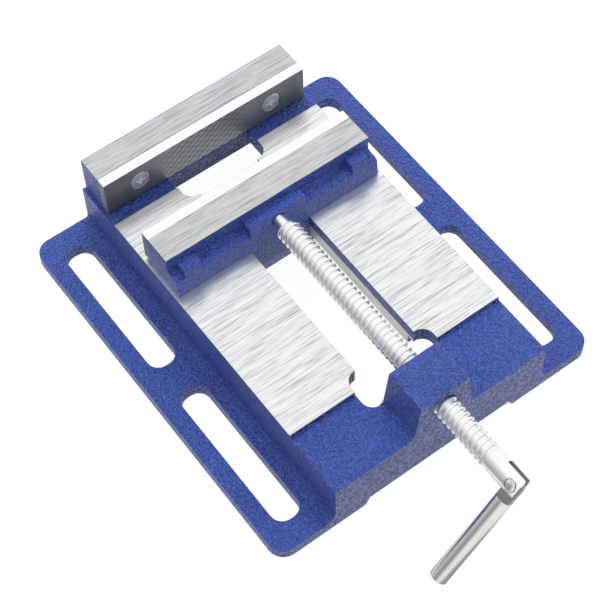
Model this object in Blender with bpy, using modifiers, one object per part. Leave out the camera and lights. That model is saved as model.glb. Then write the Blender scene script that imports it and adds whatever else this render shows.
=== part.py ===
"""Drill-press vise with a slotted base, a sliding jaw, a lead screw and a folding handle.

X runs across the vise, +Y from the handle to the fixed jaw, +Z up. The origin lies under the gripping
face of the fixed jaw, on the surface that the vise stands on. Lengths are in metres.
"""

import math

import bmesh
import bpy
from mathutils import Matrix, Vector

MM = 0.001

# Clearances
SEAT = 0.3 * MM
RUNNING = 0.3 * MM
OVERSHOOT = 2.0 * MM
EMBED = 1.5 * MM

# Base flange and body
FLANGE_REACH = 27.0 * MM
FLANGE_THICK = 5.9 * MM
FLANGE_CORNER = 7.0 * MM
FLANGE_BEHIND_BODY = 1.7 * MM
BASE_LENGTH = 176.5 * MM
BASE_BEHIND_FACE = 19.5 * MM
BODY_SIDE_STEP = 1.5 * MM
BODY_FILLET = 4.8 * MM
DECK_HEIGHT = 28.3 * MM
RAIL_STEP = 2.1 * MM
RAIL_THICK = 13.0 * MM
RAIL_BEHIND_STRIP = 6.9 * MM
FRONT_DECK_LENGTH = 29.0 * MM
BODY_WALL = 8.0 * MM
FRONT_WALL = 9.0 * MM
CASTING_EDGE = 0.7 * MM

# Flange slots for the clamping bolts
CLAMP_SLOT_WIDTH = 12.4 * MM
CLAMP_SLOT_FLAT = 1.6 * MM
CLAMP_SLOT_RIM = 7.7 * MM
CLAMP_SLOT_END = 10.6 * MM
CLAMP_SLOT_BRIDGE = 14.8 * MM

# Slot between the rails, with wider relief at both ends
RAIL_SLOT_WIDTH = 29.0 * MM
RELIEF_STEP = 5.7 * MM
RELIEF_FLAT = 0.5 * MM
RELIEF_BACK_CORNER = 0.8 * MM
FRONT_RELIEF_LENGTH = 17.0 * MM
BACK_RELIEF_LENGTH = 15.7 * MM
RAIL_SLOT_UNDER_PLATE = 0.5 * MM

# Underside
FOOT_WIDTH = 14.5 * MM
FOOT_RECESS_HEIGHT = 4.1 * MM
FOOT_RECESS_SLOPE = 2.2 * MM
RIB_THICK = 6.0 * MM
RIB_CLEARANCE = 5.0 * MM
RIB_DRAFT = 0.5 * MM
RIB_COUNT = 2
UNDERSIDE_CORNER = 2.5 * MM
DECK_WEB = 5.7 * MM
BACK_WALL = 5.3 * MM
GUIDE_WIDTH = 9.5 * MM
GUIDE_FRONT_GAP = 3.3 * MM
GUIDE_BACK_GAP = 1.2 * MM
PILLAR_WIDTH = 34.0 * MM
PILLAR_GAP = 0.4 * MM

# Jaws and jaw plates
JAW_WIDTH = 100.0 * MM
JAW_RISE = 17.8 * MM
JAW_OPENING = 27.3 * MM
PLATE_THICK = 4.4 * MM
FIXED_PLATE_LIFT = 1.1 * MM
MOVABLE_PLATE_LIFT = 2.2 * MM
FIXED_JAW_BACK_STEP = 0.8 * MM
MOVABLE_TOP_DEPTH = 12.8 * MM
FOOT_STEP = 6.9 * MM
FOOT_DRAFT = 1.4 * MM
FOOT_DROP = 4.0 * MM
POCKET_DEPTH = 4.0 * MM
POCKET_LIP = 1.2 * MM
POCKET_FILLET = 1.4 * MM
JAW_BOSS_WIDTH = 27.4 * MM
JAW_RIB_END = 4.4 * MM
JAW_RIB_WIDTH = 8.1 * MM

# Jaw plate screws
PLATE_SCREW_END = 17.0 * MM
PLATE_SCREW_RADIUS = 2.5 * MM
PLATE_SCREW_HEAD_RADIUS = 4.6 * MM
PLATE_SCREW_HEAD_HEIGHT = 2.4 * MM
PLATE_SCREW_HEAD_RIM = 0.4 * MM
PLATE_SCREW_LENGTH = 12.0 * MM
CROSS_WIDTH = 1.1 * MM
CROSS_SPAN = 4.6 * MM
CROSS_DEPTH = 1.4 * MM

# Keeper plate under the movable jaw, with its screws
KEEPER_LAP = 7.5 * MM
KEEPER_THICK = 5.4 * MM
KEEPER_CORNER = 2.0 * MM
KEEPER_SCREW_OFFSET = 9.0 * MM
KEEPER_SCREW_RADIUS = 2.4 * MM
KEEPER_SCREW_LENGTH = 16.0 * MM
KEEPER_HEAD_ACROSS = 8.0 * MM
KEEPER_HEAD_HEIGHT = 3.2 * MM
WASHER_RADIUS = 4.2 * MM
WASHER_THICK = 1.2 * MM
WASHER_SPLIT = 0.8 * MM

# Nut boss on the base
NUT_BOSS_TOP_WIDTH = 23.2 * MM
NUT_BOSS_SPREAD = 2.6 * MM
NUT_BOSS_COVER = 8.5 * MM
NUT_BOSS_LENGTH = 19.6 * MM
NUT_BOSS_FILLET = 3.6 * MM

# Lead screw
SCREW_DROP = 7.8 * MM
THREAD_RADIUS = 5.05 * MM
THREAD_DEPTH = 1.1 * MM
THREAD_PITCH = 2.68 * MM
THREAD_CREST = 0.9 * MM
THREAD_FLANK = 0.3 * MM
THREAD_PROUD = 27.6 * MM
THREAD_OVERRUN = 0.25 * MM
NOSE_SHOWN = 5.0 * MM
NOSE_RADIUS = 2.7 * MM
NOSE_DEPTH = 12.5 * MM
NECK_RADIUS = 1.7 * MM
NECK_INSET = 4.2 * MM
HEAD_UNDERCUT = 0.2 * MM
HEAD_LENGTH = 16.8 * MM
HEAD_CHAMFER = 0.4 * MM
PIN_RADIUS = 1.0 * MM
PIN_TOP_COVER = 1.4 * MM

# Fork, handle and rivet
FORK_SLOT_WIDTH = 3.0 * MM
FORK_SLOT_DEPTH = 10.3 * MM
FORK_END_WALL = 0.4 * MM
HANDLE_RADIUS = 3.7 * MM
HANDLE_LENGTH = 51.0 * MM
SHOULDER_GAP = 2.55 * MM
HANDLE_CHAMFER = 0.5 * MM
HANDLE_TURN = math.radians(47.5)
RIVET_RADIUS = 1.3 * MM
RIVET_HEAD_RADIUS = 2.5 * MM
RIVET_HEAD_HEIGHT = 1.2 * MM
RIVET_SEAT_DEPTH = 0.7 * MM

# Facets
ARC_STEPS = 6
ROUND_SEGMENTS = 28
SMALL_SEGMENTS = 20
THREAD_SEGMENTS = 14

# Widths and radii that follow from the sizes
BODY_WIDTH = JAW_WIDTH + 2 * BODY_SIDE_STEP
BASE_WIDTH = BODY_WIDTH + 2 * FLANGE_REACH
CLAMP_SLOT_OFFSET = (BASE_WIDTH - CLAMP_SLOT_WIDTH) / 2 - CLAMP_SLOT_RIM
CLAMP_SLOT_CORNER = (CLAMP_SLOT_WIDTH - CLAMP_SLOT_FLAT) / 2
CLAMP_SLOT_LENGTH = (BASE_LENGTH - CLAMP_SLOT_BRIDGE) / 2 - CLAMP_SLOT_END
RELIEF_WIDTH = RAIL_SLOT_WIDTH + 2 * RELIEF_STEP
RELIEF_RADIUS = RELIEF_STEP - RELIEF_FLAT
FOOT_RECESS_WIDTH = BODY_WIDTH - 2 * FOOT_WIDTH
JAW_RIB_INNER = JAW_WIDTH / 2 - JAW_RIB_END - JAW_RIB_WIDTH
PLATE_SCREW_OFFSET = JAW_WIDTH / 2 - PLATE_SCREW_END
BLOCK_WIDTH = RAIL_SLOT_WIDTH - 2 * RUNNING
KEEPER_WIDTH = RAIL_SLOT_WIDTH + 2 * KEEPER_LAP
FOOT_DEPTH = MOVABLE_TOP_DEPTH + FOOT_STEP
KEEPER_LENGTH = FOOT_DEPTH - SEAT
NUT_BOSS_ROOT_WIDTH = NUT_BOSS_TOP_WIDTH + 2 * NUT_BOSS_SPREAD
HEAD_RADIUS = THREAD_RADIUS - HEAD_UNDERCUT
RIVET_SEAT = HEAD_RADIUS - RIVET_SEAT_DEPTH
HANDLE_SHOULDER = HEAD_RADIUS + SHOULDER_GAP
TONGUE_THICK = FORK_SLOT_WIDTH - 2 * RUNNING
PIN_OFFSET = NECK_RADIUS + RUNNING + PIN_RADIUS

# Places along Y that follow from the sizes
BASE_BACK = BASE_BEHIND_FACE
BASE_FRONT = BASE_BACK - BASE_LENGTH
BODY_BACK = BASE_BACK - FLANGE_BEHIND_BODY
RAIL_BACK = -RAIL_BEHIND_STRIP
RAIL_FRONT = BASE_FRONT + FRONT_DECK_LENGTH
NUT_BOSS_BACK = BASE_FRONT + NUT_BOSS_LENGTH
SLOT_BACK = RAIL_SLOT_UNDER_PLATE
FRONT_RELIEF_BACK = NUT_BOSS_BACK + FRONT_RELIEF_LENGTH
BACK_RELIEF_FRONT = SLOT_BACK - BACK_RELIEF_LENGTH
FIXED_JAW_FRONT = PLATE_THICK + SEAT
FIXED_JAW_BACK = BODY_BACK - FIXED_JAW_BACK_STEP
MOVABLE_FACE = -JAW_OPENING
MOVABLE_BACK = MOVABLE_FACE - PLATE_THICK - SEAT
MOVABLE_STEP = MOVABLE_BACK - MOVABLE_TOP_DEPTH
MOVABLE_FRONT = MOVABLE_BACK - FOOT_DEPTH
KEEPER_Y = (MOVABLE_FRONT + MOVABLE_BACK) / 2
THREAD_START = MOVABLE_FRONT - NOSE_SHOWN
THREAD_END = BASE_FRONT - THREAD_PROUD
THREAD_LENGTH = THREAD_START - THREAD_END
FORK_END = THREAD_END - HEAD_LENGTH
PIVOT = FORK_END + RIVET_HEAD_RADIUS + FORK_END_WALL
NOSE_TIP = MOVABLE_FRONT + NOSE_DEPTH
NECK_Y = MOVABLE_FRONT + NECK_INSET

# Places along Z that follow from the sizes
RAIL_HEIGHT = DECK_HEIGHT + RAIL_STEP
RAIL_UNDERSIDE = RAIL_HEIGHT - RAIL_THICK
UNDERSIDE_ROOF = DECK_HEIGHT - DECK_WEB
JAW_HEIGHT = RAIL_HEIGHT + JAW_RISE
FOOT_TOP = JAW_HEIGHT - FOOT_DROP
POCKET_FLOOR = FOOT_TOP - POCKET_DEPTH
SCREW_HEIGHT = JAW_HEIGHT - SCREW_DROP
NUT_BOSS_HEIGHT = SCREW_HEIGHT + NUT_BOSS_COVER
FIXED_PLATE_BOTTOM = DECK_HEIGHT + FIXED_PLATE_LIFT
MOVABLE_PLATE_BOTTOM = RAIL_HEIGHT + MOVABLE_PLATE_LIFT
FIXED_SCREW_Z = (FIXED_PLATE_BOTTOM + JAW_HEIGHT) / 2
MOVABLE_SCREW_Z = (MOVABLE_PLATE_BOTTOM + JAW_HEIGHT) / 2
MOVABLE_BOTTOM = RAIL_HEIGHT + RUNNING
KEEPER_TOP = RAIL_UNDERSIDE - RUNNING
BLOCK_BOTTOM = KEEPER_TOP + SEAT
KEEPER_BOTTOM = KEEPER_TOP - KEEPER_THICK
WASHER_TOP = KEEPER_BOTTOM - SEAT
KEEPER_HEAD_TOP = WASHER_TOP - WASHER_THICK - SEAT
KEEPER_HEAD_BOTTOM = KEEPER_HEAD_TOP - KEEPER_HEAD_HEIGHT
KEEPER_SCREW_TIP = KEEPER_HEAD_TOP + KEEPER_SCREW_LENGTH
PIN_TOP = FOOT_TOP - PIN_TOP_COVER


# Scene, collections and materials

def clear_scene():
    for obj in list(bpy.data.objects):
        bpy.data.objects.remove(obj, do_unlink=True)


def new_collection(name):
    collection = bpy.data.collections.new(name)
    bpy.context.scene.collection.children.link(collection)
    return collection


def new_material(name, color, metallic, roughness):
    material = bpy.data.materials.new(name)
    material.use_nodes = True
    shader = material.node_tree.nodes["Principled BSDF"]
    shader.inputs["Base Color"].default_value = (*color, 1.0)
    shader.inputs["Metallic"].default_value = metallic
    shader.inputs["Roughness"].default_value = roughness
    material.diffuse_color = (*color, 1.0)
    return material


clear_scene()
PARTS = new_collection("drill_press_vise")
TOOLS = new_collection("construction_tools")


def add_part(name, mesh, material):
    obj = bpy.data.objects.new(name, mesh)
    mesh.materials.clear()
    mesh.materials.append(material)
    PARTS.objects.link(obj)
    mesh.shade_smooth()
    mesh.set_sharp_from_angle(angle=math.radians(35))
    return obj


def add_tool(name, mesh):
    obj = bpy.data.objects.new(name, mesh)
    TOOLS.objects.link(obj)
    obj.hide_render = True
    obj.display_type = "WIRE"
    return obj


# Outlines

def arc(center, radius, start, end, steps=ARC_STEPS):
    points = []
    for step in range(steps + 1):
        angle = start + (end - start) * step / steps
        points.append((center[0] + radius * math.cos(angle), center[1] + radius * math.sin(angle)))
    return points


def rounded(corners, steps=ARC_STEPS):
    """Outline through the corners (x, y, radius), each with a tangent arc of its radius."""
    points = []
    count = len(corners)
    for index, (x, y, radius) in enumerate(corners):
        corner = Vector((x, y))
        before = Vector(corners[index - 1][:2])
        after = Vector(corners[(index + 1) % count][:2])
        if radius <= 0.0:
            points.append((x, y))
            continue
        inward = (before - corner).normalized()
        outward = (after - corner).normalized()
        half_angle = inward.angle(outward) / 2
        setback = radius / math.tan(half_angle)
        center = corner + (inward + outward).normalized() * radius / math.sin(half_angle)
        first = corner + inward * setback - center
        last = corner + outward * setback - center
        start = math.atan2(first.y, first.x)
        sweep = first.angle_signed(last)
        points += arc(center, radius, start, start - sweep, steps)
    return points


def rounded_rectangle(x0, x1, y0, y1, radius):
    return rounded([(x0, y0, radius), (x1, y0, radius), (x1, y1, radius), (x0, y1, radius)])


def extruded_mesh(name, loops, low, high, plane):
    """Flat outlines, the first with the others as holes in it, extruded from low to high."""
    curve = bpy.data.curves.new(name, "CURVE")
    curve.dimensions = "2D"
    curve.fill_mode = "BOTH"
    curve.extrude = (high - low) / 2
    for loop in loops:
        spline = curve.splines.new("POLY")
        spline.points.add(len(loop) - 1)
        for point, (x, y) in zip(spline.points, loop):
            point.co = (x, y, 0.0, 1.0)
        spline.use_cyclic_u = True
    obj = bpy.data.objects.new(name, curve)
    TOOLS.objects.link(obj)
    bpy.context.view_layer.update()
    mesh = bpy.data.meshes.new_from_object(obj.evaluated_get(bpy.context.evaluated_depsgraph_get()))
    mesh.name = name
    bpy.data.objects.remove(obj, do_unlink=True)
    bpy.data.curves.remove(curve)
    bm = bmesh.new()
    bm.from_mesh(mesh)
    bmesh.ops.remove_doubles(bm, verts=bm.verts, dist=1e-6)
    bmesh.ops.dissolve_limit(bm, angle_limit=0.001, verts=bm.verts, edges=bm.edges)
    for vert in bm.verts:
        x, y, level = vert.co
        level = low if level < 0.0 else high
        vert.co = {"XY": (x, y, level), "XZ": (x, level, y), "YZ": (level, x, y)}[plane]
    bmesh.ops.recalc_face_normals(bm, faces=bm.faces)
    bm.to_mesh(mesh)
    bm.free()
    return mesh


# Solids

def box_mesh(name, low, high):
    bm = bmesh.new()
    bmesh.ops.create_cube(bm, size=1.0)
    for vert in bm.verts:
        vert.co = [near if side < 0.0 else far for side, near, far in zip(vert.co, low, high)]
    mesh = bpy.data.meshes.new(name)
    bm.to_mesh(mesh)
    bm.free()
    return mesh


def cylinder_mesh(name, radius, start, end, segments=ROUND_SEGMENTS, end_radius=None):
    """Cylinder or cone from start to end, two points on its axis."""
    start = Vector(start)
    end = Vector(end)
    bm = bmesh.new()
    bmesh.ops.create_cone(bm, cap_ends=True, segments=segments, radius1=radius,
                          radius2=radius if end_radius is None else end_radius, depth=(end - start).length)
    half_step = Matrix.Rotation(math.pi / segments, 3, "Z")
    turn = Vector((0.0, 0.0, 1.0)).rotation_difference(end - start).to_matrix() @ half_step
    bmesh.ops.rotate(bm, cent=(0.0, 0.0, 0.0), matrix=turn, verts=bm.verts)
    bmesh.ops.translate(bm, vec=(start + end) / 2, verts=bm.verts)
    mesh = bpy.data.meshes.new(name)
    bm.to_mesh(mesh)
    bm.free()
    return mesh


def profile_mesh(name, profile):
    """Open polyline of (radius, height) points for a Screw modifier."""
    mesh = bpy.data.meshes.new(name)
    bm = bmesh.new()
    verts = [bm.verts.new((radius, 0.0, height)) for radius, height in profile]
    for first, second in zip(verts, verts[1:]):
        bm.edges.new((first, second))
    bm.to_mesh(mesh)
    bm.free()
    return mesh


def turn_profile(obj, segments=ROUND_SEGMENTS):
    screw = obj.modifiers.new("Turned", "SCREW")
    screw.axis = "Z"
    screw.angle = math.tau
    screw.steps = segments
    screw.render_steps = segments
    screw.use_merge_vertices = True
    screw.merge_threshold = 1e-6
    return obj


def combine(obj, operation, tool):
    modifier = obj.modifiers.new(tool.name, "BOOLEAN")
    modifier.operation = operation
    modifier.solver = "EXACT"
    modifier.object = tool
    return obj


def cut_box(obj, name, low, high):
    return combine(obj, "DIFFERENCE", add_tool(name, box_mesh(name, low, high)))


def cut_cylinder(obj, name, radius, start, end, segments=ROUND_SEGMENTS):
    return combine(obj, "DIFFERENCE", add_tool(name, cylinder_mesh(name, radius, start, end, segments)))


def cut_outline(obj, name, outline, low, high, plane):
    return combine(obj, "DIFFERENCE", add_tool(name, extruded_mesh(name, [outline], low, high, plane)))


def join_outline(obj, name, outline, low, high, plane):
    return combine(obj, "UNION", add_tool(name, extruded_mesh(name, [outline], low, high, plane)))


def mirrored(sides=(-1, 1)):
    return [(side, "left" if side < 0 else "right") for side in sides]


# Materials

PAINT = new_material("blue_paint", (0.06, 0.09, 0.36), 0.0, 0.45)
JAW_PAINT = new_material("jaw_blue_paint", (0.07, 0.10, 0.38), 0.0, 0.45)
PLATE_STEEL = new_material("plate_steel", (0.62, 0.62, 0.63), 1.0, 0.35)
THREAD_STEEL = new_material("thread_steel", (0.78, 0.78, 0.77), 1.0, 0.2)
HANDLE_STEEL = new_material("handle_steel", (0.72, 0.72, 0.70), 1.0, 0.25)
FASTENER_STEEL = new_material("fastener_steel", (0.55, 0.55, 0.58), 1.0, 0.35)
KEEPER_STEEL = new_material("keeper_steel", (0.38, 0.38, 0.45), 1.0, 0.45)


# Base casting

def clamp_slots():
    """The four slots in the flange, two on each side of the body."""
    middle = (BASE_FRONT + BASE_BACK) / 2
    reach = CLAMP_SLOT_BRIDGE / 2 + CLAMP_SLOT_LENGTH
    slots = []
    for side, _ in mirrored():
        center = side * CLAMP_SLOT_OFFSET
        for low, high in ((-reach, -CLAMP_SLOT_BRIDGE / 2), (CLAMP_SLOT_BRIDGE / 2, reach)):
            slots.append(rounded_rectangle(center - CLAMP_SLOT_WIDTH / 2, center + CLAMP_SLOT_WIDTH / 2,
                                           middle + low, middle + high, CLAMP_SLOT_CORNER))
    return slots


def rail_slot_outline():
    """Slot between the rails, widened at both ends by a rounded relief."""
    half = RAIL_SLOT_WIDTH / 2
    wide = RELIEF_WIDTH / 2
    front = NUT_BOSS_BACK
    front_relief = FRONT_RELIEF_BACK
    back_relief = BACK_RELIEF_FRONT
    return rounded([
        (-wide, front, RELIEF_RADIUS), (wide, front, RELIEF_RADIUS),
        (wide, front_relief, RELIEF_RADIUS), (half, front_relief, 0.0),
        (half, back_relief, 0.0), (wide, back_relief, RELIEF_RADIUS),
        (wide, SLOT_BACK, RELIEF_BACK_CORNER), (-wide, SLOT_BACK, RELIEF_BACK_CORNER),
        (-wide, back_relief, RELIEF_RADIUS), (-half, back_relief, 0.0),
        (-half, front_relief, 0.0), (-wide, front_relief, RELIEF_RADIUS)])


def body_outline():
    """Front view of the body, with a hollow fillet down to the flange on both sides."""
    half = BODY_WIDTH / 2
    top = FLANGE_THICK + BODY_FILLET
    left = arc((-half - BODY_FILLET, top), BODY_FILLET, -math.pi / 2, 0.0)
    right = arc((half + BODY_FILLET, top), BODY_FILLET, math.pi, 3 * math.pi / 2)
    foot = half + BODY_FILLET
    return [(-foot, FLANGE_THICK / 2), *left, (-half, RAIL_HEIGHT), (half, RAIL_HEIGHT), *right,
            (foot, FLANGE_THICK / 2)]


def nut_boss_outline():
    """Front view of the nut boss: drafted sides that run into the deck through a hollow fillet."""
    top = NUT_BOSS_TOP_WIDTH / 2
    root = NUT_BOSS_ROOT_WIDTH / 2
    flank = Vector((top - root, NUT_BOSS_HEIGHT - DECK_HEIGHT))
    wing = root + NUT_BOSS_FILLET / math.tan(flank.angle(Vector((1.0, 0.0))) / 2)
    sunk = DECK_HEIGHT - EMBED
    return rounded([
        (-wing, sunk, 0.0), (wing, sunk, 0.0), (wing, DECK_HEIGHT, 0.0), (root, DECK_HEIGHT, NUT_BOSS_FILLET),
        (top, NUT_BOSS_HEIGHT, CASTING_EDGE), (-top, NUT_BOSS_HEIGHT, CASTING_EDGE),
        (-root, DECK_HEIGHT, NUT_BOSS_FILLET), (-wing, DECK_HEIGHT, 0.0)])


def underside_outline():
    """Plan of the hollow under rails and fixed jaw, round the boss's pillar and the ribs on both side walls."""
    side = BODY_WIDTH / 2 - BODY_WALL
    front = BASE_FRONT + FRONT_WALL
    back = BODY_BACK - BACK_WALL
    pillar = PILLAR_WIDTH / 2
    pillar_back = NUT_BOSS_BACK - PILLAR_GAP
    tip = KEEPER_WIDTH / 2 + RIB_CLEARANCE
    corner = UNDERSIDE_CORNER
    right = [(side, front, corner)]
    for index in range(1, RIB_COUNT + 1):
        middle = pillar_back + (SLOT_BACK - pillar_back) * index / (RIB_COUNT + 1)
        low = middle - RIB_THICK / 2
        high = middle + RIB_THICK / 2
        right += [(side, low, corner), (tip, low + RIB_DRAFT, 0.0), (tip, high - RIB_DRAFT, 0.0),
                  (side, high, corner)]
    right.append((side, back, corner))
    left = [(-x, y, radius) for x, y, radius in reversed(right)]
    return rounded(right + left + [(-pillar, front, corner), (-pillar, pillar_back, corner),
                                   (pillar, pillar_back, corner), (pillar, front, corner)], steps=3)


def base_casting():
    """One casting: flange, body with rails, fixed jaw and nut boss, hollow from below."""
    half = BODY_WIDTH / 2
    flange = rounded_rectangle(-BASE_WIDTH / 2, BASE_WIDTH / 2, BASE_FRONT, BASE_BACK, FLANGE_CORNER)
    base = add_part("base_casting", extruded_mesh("flange", [flange], 0.0, FLANGE_THICK, "XY"), PAINT)
    join_outline(base, "body", body_outline(), BASE_FRONT, BODY_BACK, "XZ")
    for index, slot in enumerate(clamp_slots()):
        cut_outline(base, f"clamp_slot_{index}", slot, -OVERSHOOT, FLANGE_THICK + OVERSHOOT, "XY")
    reach = half + OVERSHOOT
    cut_box(base, "front_deck", (-reach, BASE_FRONT - OVERSHOOT, DECK_HEIGHT),
            (reach, RAIL_FRONT, RAIL_HEIGHT + OVERSHOOT))
    cut_box(base, "back_strip", (-reach, RAIL_BACK, DECK_HEIGHT),
            (reach, BODY_BACK + OVERSHOOT, RAIL_HEIGHT + OVERSHOOT))
    jaw = rounded([(FIXED_JAW_FRONT, DECK_HEIGHT - EMBED, 0.0), (FIXED_JAW_BACK, DECK_HEIGHT - EMBED, 0.0),
                   (FIXED_JAW_BACK, JAW_HEIGHT, CASTING_EDGE), (FIXED_JAW_FRONT, JAW_HEIGHT, 0.0)])
    join_outline(base, "fixed_jaw", jaw, -JAW_WIDTH / 2, JAW_WIDTH / 2, "YZ")
    join_outline(base, "nut_boss", nut_boss_outline(), BASE_FRONT, NUT_BOSS_BACK, "XZ")
    cut_outline(base, "underside", underside_outline(), -OVERSHOOT, UNDERSIDE_ROOF, "XY")
    for side, name in mirrored():
        inner, outer = sorted((side * (RAIL_SLOT_WIDTH / 2 - EMBED), side * (RAIL_SLOT_WIDTH / 2 + GUIDE_WIDTH)))
        guide = rounded_rectangle(inner, outer, FRONT_RELIEF_BACK + GUIDE_FRONT_GAP,
                                  BACK_RELIEF_FRONT - GUIDE_BACK_GAP, 0.0)
        join_outline(base, f"guide_{name}", guide, RAIL_UNDERSIDE, UNDERSIDE_ROOF + EMBED, "XY")
    cut_outline(base, "rail_slot", rail_slot_outline(), -OVERSHOOT, NUT_BOSS_HEIGHT + OVERSHOOT, "XY")
    foot = FOOT_RECESS_WIDTH / 2
    slope = FOOT_RECESS_SLOPE * (FOOT_RECESS_HEIGHT + OVERSHOOT) / FOOT_RECESS_HEIGHT
    recess = [(-foot + FOOT_RECESS_SLOPE - slope, -OVERSHOOT), (foot - FOOT_RECESS_SLOPE + slope, -OVERSHOOT),
              (foot - FOOT_RECESS_SLOPE, FOOT_RECESS_HEIGHT), (-foot + FOOT_RECESS_SLOPE, FOOT_RECESS_HEIGHT)]
    cut_outline(base, "foot_recess", recess, BASE_FRONT - OVERSHOOT, RAIL_FRONT, "XZ")
    cut_cylinder(base, "nut_bore", THREAD_RADIUS + RUNNING, (0.0, BASE_FRONT - OVERSHOOT, SCREW_HEIGHT),
                 (0.0, NUT_BOSS_BACK + OVERSHOOT, SCREW_HEIGHT))
    for side, name in mirrored():
        place = side * PLATE_SCREW_OFFSET
        cut_cylinder(base, f"fixed_tapping_{name}", PLATE_SCREW_RADIUS + SEAT,
                     (place, FIXED_JAW_FRONT - SEAT, FIXED_SCREW_Z),
                     (place, PLATE_SCREW_LENGTH + SEAT, FIXED_SCREW_Z), SMALL_SEGMENTS)
    return base


# Movable jaw

def movable_jaw():
    """Jaw block, lower ribbed foot in front of it and the centre block that runs in the slot."""
    half = JAW_WIDTH / 2
    profile = rounded([
        (MOVABLE_FRONT, BLOCK_BOTTOM, 0.0), (MOVABLE_BACK, BLOCK_BOTTOM, 0.0),
        (MOVABLE_BACK, JAW_HEIGHT, 0.0), (MOVABLE_STEP, JAW_HEIGHT, 0.0), (MOVABLE_STEP, FOOT_TOP, 0.0),
        (MOVABLE_FRONT + FOOT_DRAFT, FOOT_TOP, CASTING_EDGE), (MOVABLE_FRONT, MOVABLE_BOTTOM, 0.0)], steps=3)
    jaw = add_part("movable_jaw", extruded_mesh("jaw_profile", [profile], -half, half, "YZ"), JAW_PAINT)
    ahead = MOVABLE_FRONT - OVERSHOOT
    for side, name in mirrored():
        inner, outer = sorted((side * BLOCK_WIDTH / 2, side * (half + OVERSHOOT)))
        cut_box(jaw, f"rail_clear_{name}", (inner, ahead, BLOCK_BOTTOM - OVERSHOOT),
                (outer, MOVABLE_BACK + OVERSHOOT, MOVABLE_BOTTOM))
    lip = MOVABLE_FRONT + FOOT_DRAFT + POCKET_LIP
    pocket = rounded([
        (ahead, JAW_HEIGHT, 0.0), (ahead, POCKET_FLOOR - POCKET_LIP - OVERSHOOT, 0.0),
        (lip, POCKET_FLOOR, 0.0), (MOVABLE_STEP, POCKET_FLOOR, POCKET_FILLET),
        (MOVABLE_STEP, JAW_HEIGHT, 0.0)], steps=4)
    rib_outer = JAW_RIB_INNER + JAW_RIB_WIDTH
    for side, name in mirrored():
        spans = {"long": (JAW_BOSS_WIDTH / 2, JAW_RIB_INNER), "end": (rib_outer, half + OVERSHOOT)}
        for kind, (near, far) in spans.items():
            low, high = sorted((side * near, side * far))
            cut_outline(jaw, f"{kind}_pocket_{name}", pocket, low, high, "YZ")
    cut_cylinder(jaw, "nose_hole", NOSE_RADIUS + RUNNING, (0.0, ahead, SCREW_HEIGHT),
                 (0.0, NOSE_TIP + OVERSHOOT / 2, SCREW_HEIGHT))
    for side, name in mirrored():
        place = side * PLATE_SCREW_OFFSET
        cut_cylinder(jaw, f"movable_tapping_{name}", PLATE_SCREW_RADIUS + SEAT,
                     (place, MOVABLE_BACK + SEAT, MOVABLE_SCREW_Z),
                     (place, MOVABLE_FACE - PLATE_SCREW_LENGTH - SEAT, MOVABLE_SCREW_Z), SMALL_SEGMENTS)
        place = side * KEEPER_SCREW_OFFSET
        cut_cylinder(jaw, f"keeper_tapping_{name}", KEEPER_SCREW_RADIUS + SEAT,
                     (place, KEEPER_Y, BLOCK_BOTTOM - SEAT),
                     (place, KEEPER_Y, KEEPER_SCREW_TIP + SEAT), SMALL_SEGMENTS)
        place = side * PIN_OFFSET
        cut_cylinder(jaw, f"pin_hole_{name}", PIN_RADIUS + SEAT, (place, NECK_Y, BLOCK_BOTTOM - SEAT),
                     (place, NECK_Y, PIN_TOP + SEAT), SMALL_SEGMENTS)
    return jaw


def retaining_pins():
    """Two pins beside the neck of the screw's nose; they hold it in the jaw and let it turn."""
    for side, name in mirrored():
        pin = cylinder_mesh("pin", PIN_RADIUS, (side * PIN_OFFSET, NECK_Y, BLOCK_BOTTOM),
                            (side * PIN_OFFSET, NECK_Y, PIN_TOP), SMALL_SEGMENTS)
        add_part(f"retaining_pin_{name}", pin, FASTENER_STEEL)


# Jaw plates and their screws

def jaw_plate(name, face, inward, bottom, screw_z):
    """Steel plate on a jaw; inward is the sign of Y that leads from its face into the jaw."""
    low, high = sorted((face, face + inward * PLATE_THICK))
    plate = add_part(name, box_mesh(name, (-JAW_WIDTH / 2, low, bottom), (JAW_WIDTH / 2, high, JAW_HEIGHT)),
                     PLATE_STEEL)
    wide = PLATE_SCREW_HEAD_RADIUS + SEAT
    narrow = PLATE_SCREW_RADIUS + SEAT
    profile = [(0.0, OVERSHOOT), (wide, OVERSHOOT), (wide, -PLATE_SCREW_HEAD_RIM - SEAT / 2),
               (narrow, -PLATE_SCREW_HEAD_HEIGHT - SEAT / 2), (narrow, -PLATE_THICK - OVERSHOOT),
               (0.0, -PLATE_THICK - OVERSHOOT)]
    for side, label in mirrored():
        sink = add_tool(f"{name}_sink_{label}", profile_mesh("sink", profile))
        turn_profile(sink, SMALL_SEGMENTS)
        sink.location = (side * PLATE_SCREW_OFFSET, face, screw_z)
        sink.rotation_euler = (inward * math.pi / 2, 0.0, 0.0)
        combine(plate, "DIFFERENCE", sink)
    return plate


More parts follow.
